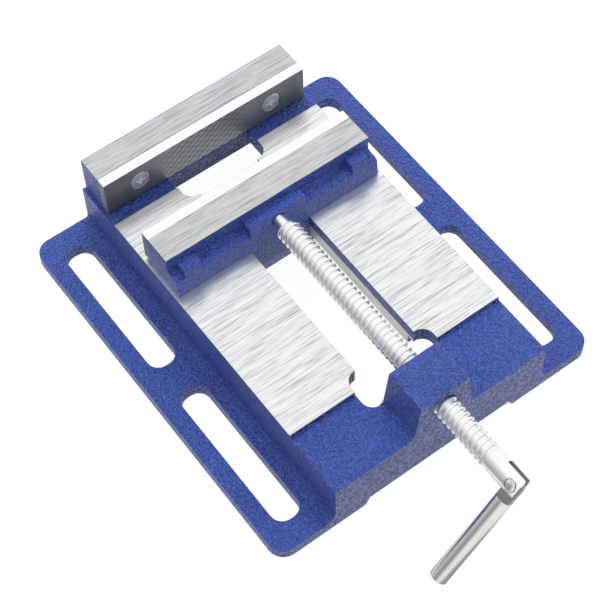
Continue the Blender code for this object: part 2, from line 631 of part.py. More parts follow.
def plate_screw(name, x, face, inward, screw_z):
    """Countersunk screw with a cross recess, its head level with the plate's face."""
    profile = [(0.0, 0.0), (PLATE_SCREW_HEAD_RADIUS, 0.0), (PLATE_SCREW_HEAD_RADIUS, -PLATE_SCREW_HEAD_RIM),
               (PLATE_SCREW_RADIUS, -PLATE_SCREW_HEAD_HEIGHT), (PLATE_SCREW_RADIUS, -PLATE_SCREW_LENGTH),
               (0.0, -PLATE_SCREW_LENGTH)]
    screw = turn_profile(add_part(name, profile_mesh(name, profile), FASTENER_STEEL), SMALL_SEGMENTS)
    bars = []
    for index, (width, span) in enumerate(((CROSS_WIDTH, CROSS_SPAN), (CROSS_SPAN, CROSS_WIDTH))):
        bar = add_tool(f"{name}_cross_{index}", box_mesh(
            "cross", (-width / 2, -span / 2, -CROSS_DEPTH), (width / 2, span / 2, OVERSHOOT)))
        combine(screw, "DIFFERENCE", bar)
        bars.append(bar)
    for obj in (screw, *bars):
        obj.location = (x, face, screw_z)
        obj.rotation_euler = (inward * math.pi / 2, 0.0, 0.0)
    return screw


def jaw_plates():
    jaw_plate("fixed_jaw_plate", 0.0, 1, FIXED_PLATE_BOTTOM, FIXED_SCREW_Z)
    jaw_plate("movable_jaw_plate", MOVABLE_FACE, -1, MOVABLE_PLATE_BOTTOM, MOVABLE_SCREW_Z)
    for side, name in mirrored():
        place = side * PLATE_SCREW_OFFSET
        plate_screw(f"fixed_plate_screw_{name}", place, 0.0, 1, FIXED_SCREW_Z)
        plate_screw(f"movable_plate_screw_{name}", place, MOVABLE_FACE, -1, MOVABLE_SCREW_Z)


# Keeper plate under the jaw

def keeper_plate():
    half = KEEPER_WIDTH / 2
    outline = rounded_rectangle(-half, half, KEEPER_Y - KEEPER_LENGTH / 2, KEEPER_Y + KEEPER_LENGTH / 2,
                                KEEPER_CORNER)
    keeper = add_part("keeper_plate", extruded_mesh("keeper", [outline], KEEPER_BOTTOM, KEEPER_TOP, "XY"),
                      KEEPER_STEEL)
    for side, name in mirrored():
        place = side * KEEPER_SCREW_OFFSET
        cut_cylinder(keeper, f"keeper_hole_{name}", KEEPER_SCREW_RADIUS + SEAT,
                     (place, KEEPER_Y, KEEPER_BOTTOM - OVERSHOOT), (place, KEEPER_Y, KEEPER_TOP + OVERSHOOT),
                     SMALL_SEGMENTS)
    return keeper


def keeper_screws():
    """Hexagon screws with split lock washers, driven up through the keeper plate."""
    for side, name in mirrored():
        place = side * KEEPER_SCREW_OFFSET
        head = cylinder_mesh("head", KEEPER_HEAD_ACROSS / math.sqrt(3), (place, KEEPER_Y, KEEPER_HEAD_BOTTOM),
                             (place, KEEPER_Y, KEEPER_HEAD_TOP), 6)
        screw = add_part(f"keeper_screw_{name}", head, FASTENER_STEEL)
        shank = cylinder_mesh("shank", KEEPER_SCREW_RADIUS, (place, KEEPER_Y, KEEPER_HEAD_TOP - EMBED),
                              (place, KEEPER_Y, KEEPER_SCREW_TIP), SMALL_SEGMENTS)
        combine(screw, "UNION", add_tool(f"keeper_shank_{name}", shank))
        rings = [arc((place, KEEPER_Y), radius, 0.0, math.tau, SMALL_SEGMENTS)[:-1]
                 for radius in (WASHER_RADIUS, KEEPER_SCREW_RADIUS + SEAT)]
        washer = add_part(f"lock_washer_{name}", extruded_mesh(
            "washer", rings, WASHER_TOP - WASHER_THICK, WASHER_TOP, "XY"), FASTENER_STEEL)
        split = WASHER_SPLIT / 2
        cut_box(washer, f"washer_split_{name}",
                (place - split, KEEPER_Y - WASHER_RADIUS - OVERSHOOT, WASHER_TOP - 2 * WASHER_THICK),
                (place + split, KEEPER_Y, WASHER_TOP + WASHER_THICK))


# Lead screw, in a frame whose Z runs from the thread's start towards the handle

def screw_frame():
    """Empties on the screw's axis and on the handle's pivot; both moving pieces hang on them."""
    axis = bpy.data.objects.new("screw_axis", None)
    axis.location = (0.0, THREAD_START, SCREW_HEIGHT)
    axis.rotation_euler = (math.pi / 2, -HANDLE_TURN, 0.0)
    pivot = bpy.data.objects.new("handle_pivot", None)
    pivot.location = (0.0, 0.0, THREAD_START - PIVOT)
    pivot.parent = axis
    for empty in (axis, pivot):
        PARTS.objects.link(empty)
    return axis, pivot


def thread_mesh():
    """Right-hand trapezoidal thread: one pitch of profile swept up a helix and cut flat at both ends."""
    root = THREAD_RADIUS - THREAD_DEPTH
    foot = THREAD_PITCH - THREAD_CREST - 2 * THREAD_FLANK
    profile = [(root, 0.0), (root, foot), (THREAD_RADIUS, foot + THREAD_FLANK),
               (THREAD_RADIUS, foot + THREAD_FLANK + THREAD_CREST), (root, THREAD_PITCH)]
    top = THREAD_LENGTH + THREAD_OVERRUN
    turns = math.ceil(top / THREAD_PITCH) + 2
    bm = bmesh.new()
    verts = [bm.verts.new((radius, 0.0, height - THREAD_PITCH)) for radius, height in profile]
    edges = [bm.edges.new(pair) for pair in zip(verts, verts[1:])]
    bmesh.ops.spin(bm, geom=verts + edges, cent=(0.0, 0.0, 0.0), axis=(0.0, 0.0, 1.0),
                   dvec=(0.0, 0.0, THREAD_PITCH / THREAD_SEGMENTS), angle=math.tau * turns,
                   steps=THREAD_SEGMENTS * turns)
    bmesh.ops.remove_doubles(bm, verts=bm.verts, dist=1e-6)
    for height, normal in ((0.0, -1.0), (top, 1.0)):
        bmesh.ops.bisect_plane(bm, geom=bm.verts[:] + bm.edges[:] + bm.faces[:], dist=1e-7,
                               plane_co=(0.0, 0.0, height), plane_no=(0.0, 0.0, normal), clear_outer=True)
    loose = [edge for edge in bm.edges if edge.is_boundary]
    bmesh.ops.edgeloop_fill(bm, edges=loose)
    bmesh.ops.recalc_face_normals(bm, faces=bm.faces)
    mesh = bpy.data.meshes.new("thread")
    bm.to_mesh(mesh)
    bm.free()
    return mesh


def nose_profile():
    """Nose, from inside the thread down to its tip, with the neck that the pins run in."""
    core = THREAD_RADIUS - THREAD_DEPTH - THREAD_OVERRUN
    neck = -NOSE_SHOWN - NECK_INSET
    reach = PIN_RADIUS + RUNNING
    tip = -NOSE_SHOWN - NOSE_DEPTH
    return [(0.0, EMBED), (core, EMBED), (core, 0.0), (NOSE_RADIUS, -NOSE_SHOWN), (NOSE_RADIUS, neck + reach),
            (NECK_RADIUS, neck + reach), (NECK_RADIUS, neck - reach), (NOSE_RADIUS, neck - reach),
            (NOSE_RADIUS, tip + HEAD_CHAMFER), (NOSE_RADIUS - HEAD_CHAMFER, tip), (0.0, tip)]


def head_profile():
    core = THREAD_RADIUS - THREAD_DEPTH - THREAD_OVERRUN
    top = THREAD_LENGTH + HEAD_LENGTH
    return [(0.0, top), (HEAD_RADIUS - HEAD_CHAMFER, top), (HEAD_RADIUS, top - HEAD_CHAMFER),
            (HEAD_RADIUS, THREAD_LENGTH), (core, THREAD_LENGTH), (core, THREAD_LENGTH - EMBED),
            (0.0, THREAD_LENGTH - EMBED)]


def lead_screw(axis):
    screw = add_part("lead_screw", thread_mesh(), THREAD_STEEL)
    nose = turn_profile(add_tool("screw_nose", profile_mesh("nose", nose_profile())))
    head = turn_profile(add_tool("screw_head", profile_mesh("head", head_profile())))
    end = THREAD_LENGTH + HEAD_LENGTH
    pivot = THREAD_START - PIVOT
    slot = add_tool("fork_slot", box_mesh(
        "slot", (-HEAD_RADIUS - OVERSHOOT, -FORK_SLOT_WIDTH / 2, end - FORK_SLOT_DEPTH),
        (HEAD_RADIUS + OVERSHOOT, FORK_SLOT_WIDTH / 2, end + OVERSHOOT)))
    outside = HEAD_RADIUS + OVERSHOOT
    hole = add_tool("rivet_hole", cylinder_mesh(
        "hole", RIVET_RADIUS + SEAT, (0.0, -outside, pivot), (0.0, outside, pivot), SMALL_SEGMENTS))
    seats = [add_tool(f"rivet_seat_{name}", cylinder_mesh(
        "seat", RIVET_HEAD_RADIUS + SEAT, (0.0, side * RIVET_SEAT, pivot), (0.0, side * outside, pivot),
        SMALL_SEGMENTS)) for side, name in mirrored()]
    combine(screw, "UNION", nose)
    combine(screw, "UNION", head)
    for tool in (slot, hole, *seats):
        combine(screw, "DIFFERENCE", tool)
    for obj in (screw, nose, head, slot, hole, *seats):
        obj.parent = axis
    return screw


def handle_rivet(pivot):
    """Rivet through the fork and the handle's tongue, with a domed head on both sides."""
    seat = RIVET_SEAT + SEAT
    dome = [(RIVET_HEAD_RADIUS * math.sin(angle), seat + RIVET_HEAD_HEIGHT * math.cos(angle))
            for angle in [math.pi / 2 * step / ARC_STEPS for step in range(ARC_STEPS + 1)]]
    lower = [(radius, -height) for radius, height in reversed(dome)]
    profile = dome + [(RIVET_RADIUS, seat), (RIVET_RADIUS, -seat)] + lower
    rivet = add_part("handle_rivet", profile_mesh("rivet", profile), FASTENER_STEEL)
    turn_profile(rivet, SMALL_SEGMENTS)
    rivet.parent = pivot
    rivet.rotation_euler = (-math.pi / 2, 0.0, 0.0)
    return rivet


def handle_bar(pivot):
    """Round bar along -X of the pivot's frame, with a flat tongue that turns in the fork."""
    tip = -HANDLE_LENGTH
    profile = [(0.0, -HANDLE_SHOULDER), (HANDLE_RADIUS, -HANDLE_SHOULDER),
               (HANDLE_RADIUS, tip + HANDLE_CHAMFER), (HANDLE_RADIUS - HANDLE_CHAMFER, tip), (0.0, tip)]
    bar = turn_profile(add_part("handle_bar", profile_mesh("bar", profile), HANDLE_STEEL))
    half = HANDLE_RADIUS - SEAT
    inside = HANDLE_SHOULDER + EMBED
    end = arc((0.0, 0.0), half, 0.0, math.pi, 2 * ARC_STEPS)
    tongue = add_tool("handle_tongue", extruded_mesh(
        "tongue", [[(half, -inside), *end, (-half, -inside)]], -TONGUE_THICK / 2, TONGUE_THICK / 2, "XZ"))
    hole = add_tool("tongue_hole", cylinder_mesh(
        "hole", RIVET_RADIUS + SEAT, (0.0, -TONGUE_THICK, 0.0), (0.0, TONGUE_THICK, 0.0), SMALL_SEGMENTS))
    combine(bar, "UNION", tongue)
    combine(bar, "DIFFERENCE", hole)
    for obj in (bar, tongue, hole):
        obj.parent = pivot
        obj.rotation_euler = (0.0, math.pi / 2, 0.0)
    return bar


def main():
    base_casting()
    movable_jaw()
    retaining_pins()
    jaw_plates()
    keeper_plate()
    keeper_screws()
    axis, pivot = screw_frame()
    lead_screw(axis)
    handle_rivet(pivot)
    handle_bar(pivot)


main()
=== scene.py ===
"""Drill-press vise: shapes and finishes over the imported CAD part.

Laid out as a Blender add-on and run as a script. One operator builds each piece or group of like pieces, one
builds the studio, and main() calls them in order. All lengths are in metres, in the frame of the CAD part.
"""
import math

import bmesh
import bpy
from bpy.props import FloatProperty, FloatVectorProperty, IntProperty, PointerProperty
from mathutils import Euler, Matrix, Vector


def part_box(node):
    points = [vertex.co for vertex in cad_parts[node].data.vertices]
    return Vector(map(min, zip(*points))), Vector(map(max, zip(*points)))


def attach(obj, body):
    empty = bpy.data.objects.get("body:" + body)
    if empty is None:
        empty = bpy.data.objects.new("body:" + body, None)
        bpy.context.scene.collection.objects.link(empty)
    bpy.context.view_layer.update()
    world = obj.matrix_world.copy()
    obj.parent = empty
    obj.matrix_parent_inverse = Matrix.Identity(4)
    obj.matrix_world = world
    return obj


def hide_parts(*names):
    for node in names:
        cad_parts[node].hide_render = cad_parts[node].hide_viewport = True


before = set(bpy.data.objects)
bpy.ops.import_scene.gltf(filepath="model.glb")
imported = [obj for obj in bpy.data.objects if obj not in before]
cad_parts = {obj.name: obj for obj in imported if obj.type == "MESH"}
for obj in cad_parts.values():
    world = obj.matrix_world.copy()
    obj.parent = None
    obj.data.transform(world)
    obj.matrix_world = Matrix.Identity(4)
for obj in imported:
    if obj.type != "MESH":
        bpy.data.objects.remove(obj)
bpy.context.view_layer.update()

bl_info = {
    "name": "Drill-Press Vise",
    "version": (1, 0, 0),
    "blender": (4, 5, 0),
    "location": "View3D > Sidebar > Vise",
    "description": "Builds a slotted drill-press vise with its screw, folding handle and studio",
    "category": "Add Mesh",
}

MM = 0.001
TOUCH = 0.02 * MM

# Faces of the castings
RAIL_TOP = 30.4 * MM
RAIL_UNDERSIDE = 17.4 * MM
RAIL_SLOT_HALF = 14.5 * MM
GUIDE_TOP = 24.4 * MM
JAW_TOP = 48.2 * MM
MOVABLE_JAW_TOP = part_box("movable_jaw")[1].z
MOVABLE_JAW_SOLE = RAIL_TOP + 0.3 * MM
BODY_HALF = 51.5 * MM

# Lead screw, from the movable jaw's front along the screw
SCREW_HEIGHT = 40.4 * MM
THREAD_START = -56.7 * MM
THREAD_LENGTH = 127.9 * MM
NOSE_SHOWN = 5.0 * MM
NOSE_RADIUS = 2.7 * MM
NOSE_DEPTH = 12.5 * MM
NECK_RADIUS = 1.7 * MM
NECK_INSET = 4.2 * MM
NECK_HALF = 1.3 * MM
HEAD_RADIUS = 4.85 * MM
HEAD_LENGTH = 16.8 * MM
FORK_SLOT_WIDTH = 3.0 * MM
FORK_SLOT_DEPTH = 10.3 * MM
PIVOT = 141.8 * MM
RIVET_RADIUS = 1.3 * MM
RIVET_HOLE = 1.6 * MM
RIVET_HEAD = 2.5 * MM
RIVET_SEAT = 4.15 * MM
SEAT = 0.3 * MM
SOFT_END = 0.4 * MM
EMBED = 1.0 * MM
OVERSHOOT = 2.0 * MM

# Handle and jaw plates
HANDLE_TURN = math.radians(47.5)
TONGUE_THICK = 2.4 * MM
HANDLE_SHOULDER = 7.4 * MM
PLATE_SEAT = 0.29 * MM

PLATE_SCREWS = {
    "fixed_plate_screw_left": (-1, "base"), "fixed_plate_screw_right": (1, "base"),
    "movable_plate_screw_left": (-1, "jaw"), "movable_plate_screw_right": (1, "jaw"),
}


class PaintSettings(bpy.types.PropertyGroup):
    color: FloatVectorProperty(
        name="Paint", description="Colour of the paint on the castings", subtype="COLOR", size=3, min=0.0, max=1.0,
        default=(0.071, 0.160, 0.70))
    shade: FloatVectorProperty(
        name="Paint Hollows", description="Colour of the paint in the hollows of its grain", subtype="COLOR",
        size=3, min=0.0, max=1.0, default=(0.019, 0.049, 0.27))
    grain: FloatProperty(
        name="Grain", description="Width of one grain of the textured paint", default=0.85 * MM, min=0.1 * MM,
        unit="LENGTH")
    grain_depth: FloatProperty(
        name="Grain Depth", description="Depth of the paint's grain", default=0.24 * MM, min=0.0, unit="LENGTH")
    roughness: FloatProperty(
        name="Roughness", description="Roughness of the paint", default=0.30, min=0.0, max=1.0, subtype="FACTOR")
    edge_width: FloatProperty(
        name="Casting Edge", description="Width of the soft edge on the castings", default=0.35 * MM, min=0.0,
        unit="LENGTH")


class SteelSettings(bpy.types.PropertyGroup):
    ground_color: FloatVectorProperty(
        name="Ground Iron", description="Colour of the ground tops and guides", subtype="COLOR", size=3, min=0.0,
        max=1.0, default=(0.86, 0.865, 0.88))
    streak_length: FloatProperty(
        name="Streak Length", description="Length of one streak of the grinding", default=14.0 * MM, min=1.0 * MM,
        unit="LENGTH")
    streak_width: FloatProperty(
        name="Streak Width", description="Width of one streak of the grinding", default=0.34 * MM, min=0.05 * MM,
        unit="LENGTH")
    plate_color: FloatVectorProperty(
        name="Jaw Plates", description="Colour of the hardened faces of the jaw plates", subtype="COLOR", size=3,
        min=0.0, max=1.0, default=(0.40, 0.405, 0.42))
    thread_color: FloatVectorProperty(
        name="Lead Screw", description="Colour of the bright lead screw", subtype="COLOR", size=3, min=0.0,
        max=1.0, default=(0.99, 0.99, 0.98))
    handle_color: FloatVectorProperty(
        name="Handle", description="Colour of the handle bar", subtype="COLOR", size=3, min=0.0, max=1.0,
        default=(0.80, 0.80, 0.78))
    fastener_color: FloatVectorProperty(
        name="Fasteners", description="Colour of the plate screws and the rivet", subtype="COLOR", size=3, min=0.0,
        max=1.0, default=(0.60, 0.60, 0.66))
    keeper_color: FloatVectorProperty(
        name="Keeper", description="Colour of the keeper plate and the pins", subtype="COLOR", size=3, min=0.0,
        max=1.0, default=(0.20, 0.20, 0.42))
    guide_color: FloatVectorProperty(
        name="Guides", description="Colour of the machined walls of the slot", subtype="COLOR", size=3, min=0.0,
        max=1.0, default=(0.90, 0.89, 0.83))
    milled_color: FloatVectorProperty(
        name="Milled Faces", description="Colour of the fork's slot and of the handle's tongue and shoulder",
        subtype="COLOR", size=3, min=0.0, max=1.0, default=(0.44, 0.44, 0.43))


class ThreadSettings(bpy.types.PropertyGroup):
    radius: FloatProperty(
        name="Radius", description="Outer radius of the thread", default=5.05 * MM, min=1.0 * MM, unit="LENGTH")
    depth: FloatProperty(
        name="Depth", description="Depth of the thread", default=1.1 * MM, min=0.1 * MM, unit="LENGTH")
    pitch: FloatProperty(
        name="Pitch", description="Travel of the jaw in one turn", default=2.68 * MM, min=0.5 * MM, unit="LENGTH")
    crest: FloatProperty(
        name="Crest", description="Width of the flat crest", default=0.9 * MM, min=0.1 * MM, unit="LENGTH")
    flank: FloatProperty(
        name="Flank", description="Length along the screw of one flank", default=0.3 * MM, min=0.01 * MM,
        unit="LENGTH")
    steps: IntProperty(name="Steps", description="Steps in one turn of the thread", default=40, min=12, max=96)


class HatchSettings(bpy.types.PropertyGroup):
    spacing: FloatProperty(
        name="Spacing", description="Distance along the jaw between two grooves", default=4.6 * MM, min=0.5 * MM,
        unit="LENGTH")
    slope: FloatProperty(
        name="Slope", description="Slope of the grooves against the jaw", default=math.radians(37.0),
        min=math.radians(10.0), max=math.radians(80.0), subtype="ANGLE", unit="ROTATION")
    width: FloatProperty(
        name="Width", description="Width of one groove", default=0.38 * MM, min=0.05 * MM, unit="LENGTH")
    depth: FloatProperty(
        name="Depth", description="Depth of one groove", default=0.16 * MM, min=0.0, unit="LENGTH")
    reach: FloatProperty(
        name="Reach", description="Half of the hatched length, between the two screws", default=25.0 * MM,
        min=1.0 * MM, unit="LENGTH")


class HandleSettings(bpy.types.PropertyGroup):
    radius: FloatProperty(
        name="Radius", description="Radius of the handle bar", default=3.7 * MM, min=1.0 * MM, unit="LENGTH")
    length: FloatProperty(
        name="Length", description="Length from the rivet to the tip", default=51.0 * MM, min=10.0 * MM,
        unit="LENGTH")
    chamfer: FloatProperty(
        name="Chamfer", description="Chamfer at both ends of the bar", default=0.5 * MM, min=0.05 * MM,
        unit="LENGTH")


class StudioSettings(bpy.types.PropertyGroup):
    floor_color: FloatVectorProperty(
        name="Floor", description="Colour of the floor and the background", subtype="COLOR", size=3, min=0.0,
        max=1.0, default=(0.90, 0.90, 0.90))
    key_power: FloatProperty(
        name="Key Light", description="Power of the large lamp above the back", default=6.0, min=0.0, unit="POWER")
    sky: FloatProperty(
        name="Sky", description="Strength of the light from all round on matt surfaces", default=0.70, min=0.0)
    camera_place: FloatVectorProperty(
        name="Camera", description="Place of the camera", subtype="XYZ", size=3, unit="LENGTH",
        default=(-0.22673, -0.39310, 0.64131))
    camera_turn: FloatVectorProperty(
        name="Camera Turn", description="Rotation of the camera", subtype="EULER", size=3, unit="ROTATION",
        default=(math.radians(31.7358), math.radians(1.1758), math.radians(-36.4373)))
    lens: FloatProperty(
        name="Lens", description="Focal length of the camera in millimetres", default=108.53, min=10.0)


class Value:
    """A number that varies over a surface. Sums and products of such numbers add Math nodes."""

    def __init__(self, graph, socket):
        self.graph = graph
        self.socket = socket

    def __add__(self, other):
        return self.graph.math("ADD", self, other)

    __radd__ = __add__

    def __sub__(self, other):
        return self.graph.math("SUBTRACT", self, other)

    def __rsub__(self, other):
        return self.graph.math("SUBTRACT", other, self)

    def __mul__(self, other):
        return self.graph.math("MULTIPLY", self, other)

    __rmul__ = __mul__


class Graph:
    """The nodes of one material or of the world."""

    def __init__(self, tree):
        self.tree = tree
        tree.nodes.clear()

    def node(self, kind, settings=None, sockets=None, output=0):
        """Adds a node, makes its settings, then sets or links its sockets, and returns one of its outputs."""
        node = self.tree.nodes.new("ShaderNode" + kind)
        for name, value in (settings or {}).items():
            setattr(node, name, value)
        for key, value in (sockets or {}).items():
            if isinstance(value, Value):
                self.tree.links.new(value.socket, node.inputs[key])
            else:
                node.inputs[key].default_value = value
        return Value(self, node.outputs[output]) if node.outputs else None

    def math(self, operation, first, second=0.0):
        return self.node("Math", {"operation": operation}, {0: first, 1: second})

    def mix(self, factor, first, second):
        """Colour between first and second."""
        return self.node("Mix", {"data_type": "RGBA"}, {0: factor, 6: rgba(first), 7: rgba(second)}, 2)

    def place(self, scale=(1.0, 1.0, 1.0), turn=(0.0, 0.0, 0.0)):
        """The surface's own coordinates, stretched and turned."""
        coordinates = self.node("TexCoord", output=3)
        return self.node("Mapping", None, {0: coordinates, "Rotation": turn, "Scale": scale})

    def part(self, vector, index):
        """The X, Y or Z of a vector."""
        return self.node("SeparateXYZ", None, {0: vector}, index)

    def attribute(self, name):
        """A number that the faces carry under that name."""
        return self.node("Attribute", {"attribute_name": name}, output=2)

    def noise(self, vector, scale, detail=2.0, roughness=0.5):
        return self.node("TexNoise", None,
                         {"Vector": vector, "Scale": scale, "Detail": detail, "Roughness": roughness})

    def spread(self, value, low, high, to_low=0.0, to_high=1.0):
        """The value moved from one range to another and held there."""
        return self.node("MapRange", {"clamp": True}, {0: value, 1: low, 2: high, 3: to_low, 4: to_high})

    def bump(self, height, strength, distance):
        return self.node("Bump", None, {"Height": height, "Strength": strength, "Distance": distance})


def rgba(color):
    return color if isinstance(color, Value) else (*color, 1.0)


def times(share, color):
    """The colour made darker or lighter."""
    return [share * value for value in color]


def finish(name, build, *arguments):
    """The material under that name; its first caller makes it."""
    material = bpy.data.materials.get(name)
    if material is None:
        material = bpy.data.materials.new(name)
        material.use_nodes = True
        graph = Graph(material.node_tree)
        shader = graph.node("BsdfPrincipled", None, build(graph, *arguments))
        graph.node("OutputMaterial", None, {0: shader})
    return material


def textured_paint(graph):
    """Pebbled enamel: grains lighter than their hollows, pale spots as painted glints, dark and pale spots on
    walls as painted shade and highlight, and pale edges of scuffed paint and painted highlight.
    """
    paint = bpy.context.scene.vise_paint
    place = graph.place()
    grain = graph.noise(place, 1.0 / paint.grain, 3.0, 0.65)
    pits = graph.noise(place, 2.1 / paint.grain, 2.0, 0.6)
    patches = graph.noise(place, 28.0, 2.0)
    height = graph.spread(grain, 0.34, 0.66)
    tone = graph.spread(height * 0.7 + pits * 0.4 + patches * 0.4, 0.40, 1.10)
    color = graph.mix(tone, paint.shade, paint.color)
    # Painted glints: pale specks over all the paint stand in for sparkle on its grain.
    glint_specks = graph.spread(graph.noise(place, 1900.0, 2.0), 0.50, 0.64)
    color = graph.mix(glint_specks * 0.30, color, (0.26, 0.32, 0.76))
    # Painted light on the walls: dark spots of painted shade and pale spots of painted highlight stand in for
    # light and shade on the paint's bumps.
    wall = graph.attribute("wall")
    painted_wall_light = graph.spread(graph.noise(place, 850.0, 2.0), 0.46, 0.56)
    color = graph.mix(wall * (1.0 - painted_wall_light) * 0.60, color, paint.shade)
    color = graph.mix(wall * painted_wall_light * 0.58, color, (0.35, 0.40, 0.90))
    # Pale edge marks: scuffed paint in broken dashes, and on edges facing back, right and up also a painted
    # highlight.
    rubbed_and_lit = graph.attribute("worn_and_lit") * graph.spread(graph.noise(place, 700.0, 2.0), 0.46, 0.53)
    color = graph.mix(rubbed_and_lit * 0.9, color, (0.86, 0.88, 0.97))
    roughness = graph.spread(grain, 0.3, 0.7, paint.roughness + 0.10, paint.roughness - 0.06)
    leather = graph.spread(graph.noise(place, 0.62 / paint.grain, 2.0), 0.36, 0.64)
    normal = graph.bump(leather * (wall * 3.0 + 3.0) + height * 0.5, 1.0, paint.grain_depth)
    return {"Base Color": color, "Roughness": roughness, "Normal": normal}


def streaked(graph, length, width):
    """Dark dashes of the grinding wheel, from 0 in a dash to 1 between them, with a few broad ones below."""
    fine = graph.noise(graph.place((1.0 / length, 1.0 / width, 1.0 / width)), 1.0, 3.0, 0.7)
    wide = graph.noise(graph.place((0.4 / length, 0.35 / width, 0.35 / width)), 1.0, 2.0)
    return graph.spread(fine * 0.82 + wide * 0.18, 0.35, 0.52)


def ground_iron(graph, tint, dark):
    """Bright ground iron with fine streaks along the jaws."""
    steel = bpy.context.scene.vise_steel
    streaks = streaked(graph, steel.streak_length, steel.streak_width)
    light = times(tint, steel.ground_color)
    color = graph.mix(streaks, times(dark, light), light)
    return {"Base Color": color, "Metallic": 1.0, "Roughness": graph.spread(streaks, 0.0, 1.0, 0.42, 0.29),
            "Normal": graph.bump(streaks, 0.4, 0.015 * MM)}


def plate_face(graph):
    """Grey hardened steel, brushed along the jaw, darker towards its ends, with painted shade in its grooves."""
    steel = bpy.context.scene.vise_steel
    streaks = streaked(graph, 0.8 * steel.streak_length, 0.6 * steel.streak_width)
    color = graph.mix(streaks, times(0.72, steel.plate_color), steel.plate_color)
    across = graph.math("ABSOLUTE", graph.part(graph.node("TexCoord", output=3), 0))
    ends = graph.spread(across, 18 * MM, 46 * MM)
    color = graph.mix(ends * 0.45, color, (0.0, 0.0, 0.0))
    # Painted shade in the hatch grooves, darkest in their deepest parts.
    color = graph.mix(graph.attribute("groove") * 0.95, color, times(0.12, steel.plate_color))
    return {"Base Color": color, "Metallic": 0.6, "Roughness": graph.spread(streaks, 0.0, 1.0, 0.52, 0.42),
            "Normal": graph.bump(streaks, 0.3, 0.01 * MM)}


def machined_guide(graph, color):
    """Pale machined iron, with faint tool marks along the slot."""
    marks = graph.noise(graph.place((1500.0, 60.0, 1500.0)), 1.0, 2.0)
    tone = graph.spread(marks, 0.35, 0.65)
    return {"Base Color": graph.mix(tone, times(0.80, color), color), "Metallic": 0.5,
            "Roughness": graph.spread(tone, 0.0, 1.0, 0.50, 0.40), "Normal": graph.bump(marks, 0.2, 0.01 * MM)}


def turned_steel(graph, color, roughness):
    """Bright turned steel: fine rings round the screw's length and a few soft stains."""
    rings = graph.noise(graph.place((60.0, 3500.0, 60.0)), 1.0, 2.0)
    stains = graph.noise(graph.place(), 160.0, 3.0)
    tone = graph.spread(rings * 0.6 + stains * 0.4, 0.35, 0.65)
    return {"Base Color": graph.mix(tone, times(0.94, color), color), "Metallic": 1.0,
            "Roughness": graph.spread(tone, 0.0, 1.0, roughness + 0.08, roughness),
            "Normal": graph.bump(rings, 0.15, 0.01 * MM)}


def drawn_steel(graph, color, roughness):
    """Satin drawn steel with faint lines along the handle."""
    turned = graph.place(turn=(0.0, -HANDLE_TURN, 0.0))
    lines = graph.noise(graph.node("Mapping", None, {0: turned, "Scale": (30.0, 1800.0, 1800.0)}), 1.0, 2.0)
    stains = graph.noise(graph.place(), 220.0, 3.0)
    tone = graph.spread(lines * 0.5 + stains * 0.5, 0.35, 0.65)
    return {"Base Color": graph.mix(tone, times(0.92, color), color), "Metallic": 1.0,
            "Roughness": graph.spread(tone, 0.0, 1.0, roughness + 0.05, roughness),
            "Normal": graph.bump(lines, 0.06, 0.01 * MM)}


def zinc_steel(graph, color, roughness, metallic=1.0):
    """Dull plated steel, clouded at the size of the fasteners."""
    clouds = graph.noise(graph.place(), 900.0, 3.0, 0.6)
    tone = graph.spread(clouds, 0.35, 0.65)
    return {"Base Color": graph.mix(tone, times(0.75, color), color), "Metallic": metallic,
            "Roughness": graph.spread(tone, 0.0, 1.0, roughness + 0.12, roughness),
            "Normal": graph.bump(clouds, 0.3, 0.02 * MM)}


def merged_copy(node):
    """A CAD node's shape with its loose triangles merged and its flat faces joined."""
    bm = bmesh.new()
    bm.from_mesh(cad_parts[node].data)
    bmesh.ops.remove_doubles(bm, verts=bm.verts, dist=TOUCH)
    bmesh.ops.dissolve_limit(bm, angle_limit=math.radians(0.3), verts=bm.verts, edges=bm.edges)
    return bm


def split_at(bm, faces, place, direction):
    """Splits those faces along a plane."""
    geom = list(dict.fromkeys(item for face in faces for item in (face, *face.edges, *face.verts)))
    bmesh.ops.bisect_plane(bm, geom=geom, dist=TOUCH, plane_co=place, plane_no=direction)


def soften(bm, width, keep=None, wear_and_highlight=1.0, painted_wall_light=0.15):
    """Rounds the sharp outer edges and marks the faces. The rounded faces get pale edge marks, scuffed paint with
    a painted highlight where they face back, right and up. The upright ones are marked as walls, with a weight for
    painted light and shade on their bumps that is largest where they face along Y.
    """
    bm.faces.layers.float.new("worn_and_lit")
    wall = bm.faces.layers.float.new("wall")
    worn_and_lit = bm.faces.layers.float["worn_and_lit"]
    sharp = math.radians(32.0)
    edges = [edge for edge in bm.edges if len(edge.link_faces) == 2 and edge.calc_face_angle() > sharp
             and edge.is_convex and (keep is None or keep(edge))]
    made = bmesh.ops.bevel(bm, geom=edges, offset=width, offset_type="OFFSET", segments=2, profile=0.5,
                           affect="EDGES", clamp_overlap=True, material=-1)
    bm.normal_update()
    # Upright faces carry a weight for the painted highlight and shade spots of textured_paint, largest where they
    # face along Y.
    for face in bm.faces:
        face[wall] = painted_wall_light * (0.2 + 0.8 * abs(face.normal.y)) if abs(face.normal.z) < 0.5 else 0.0
    # Rounded faces looking back, right and up get the full share, a painted highlight on top of scuffing; the rest
    # get a small share of scuffing.
    for face in made["faces"]:
        rubbed_and_lit = face.normal.x + face.normal.y > 0.3 and face.normal.z > 0.2
        face[worn_and_lit] = wear_and_highlight if rubbed_and_lit else 0.15 * wear_and_highlight


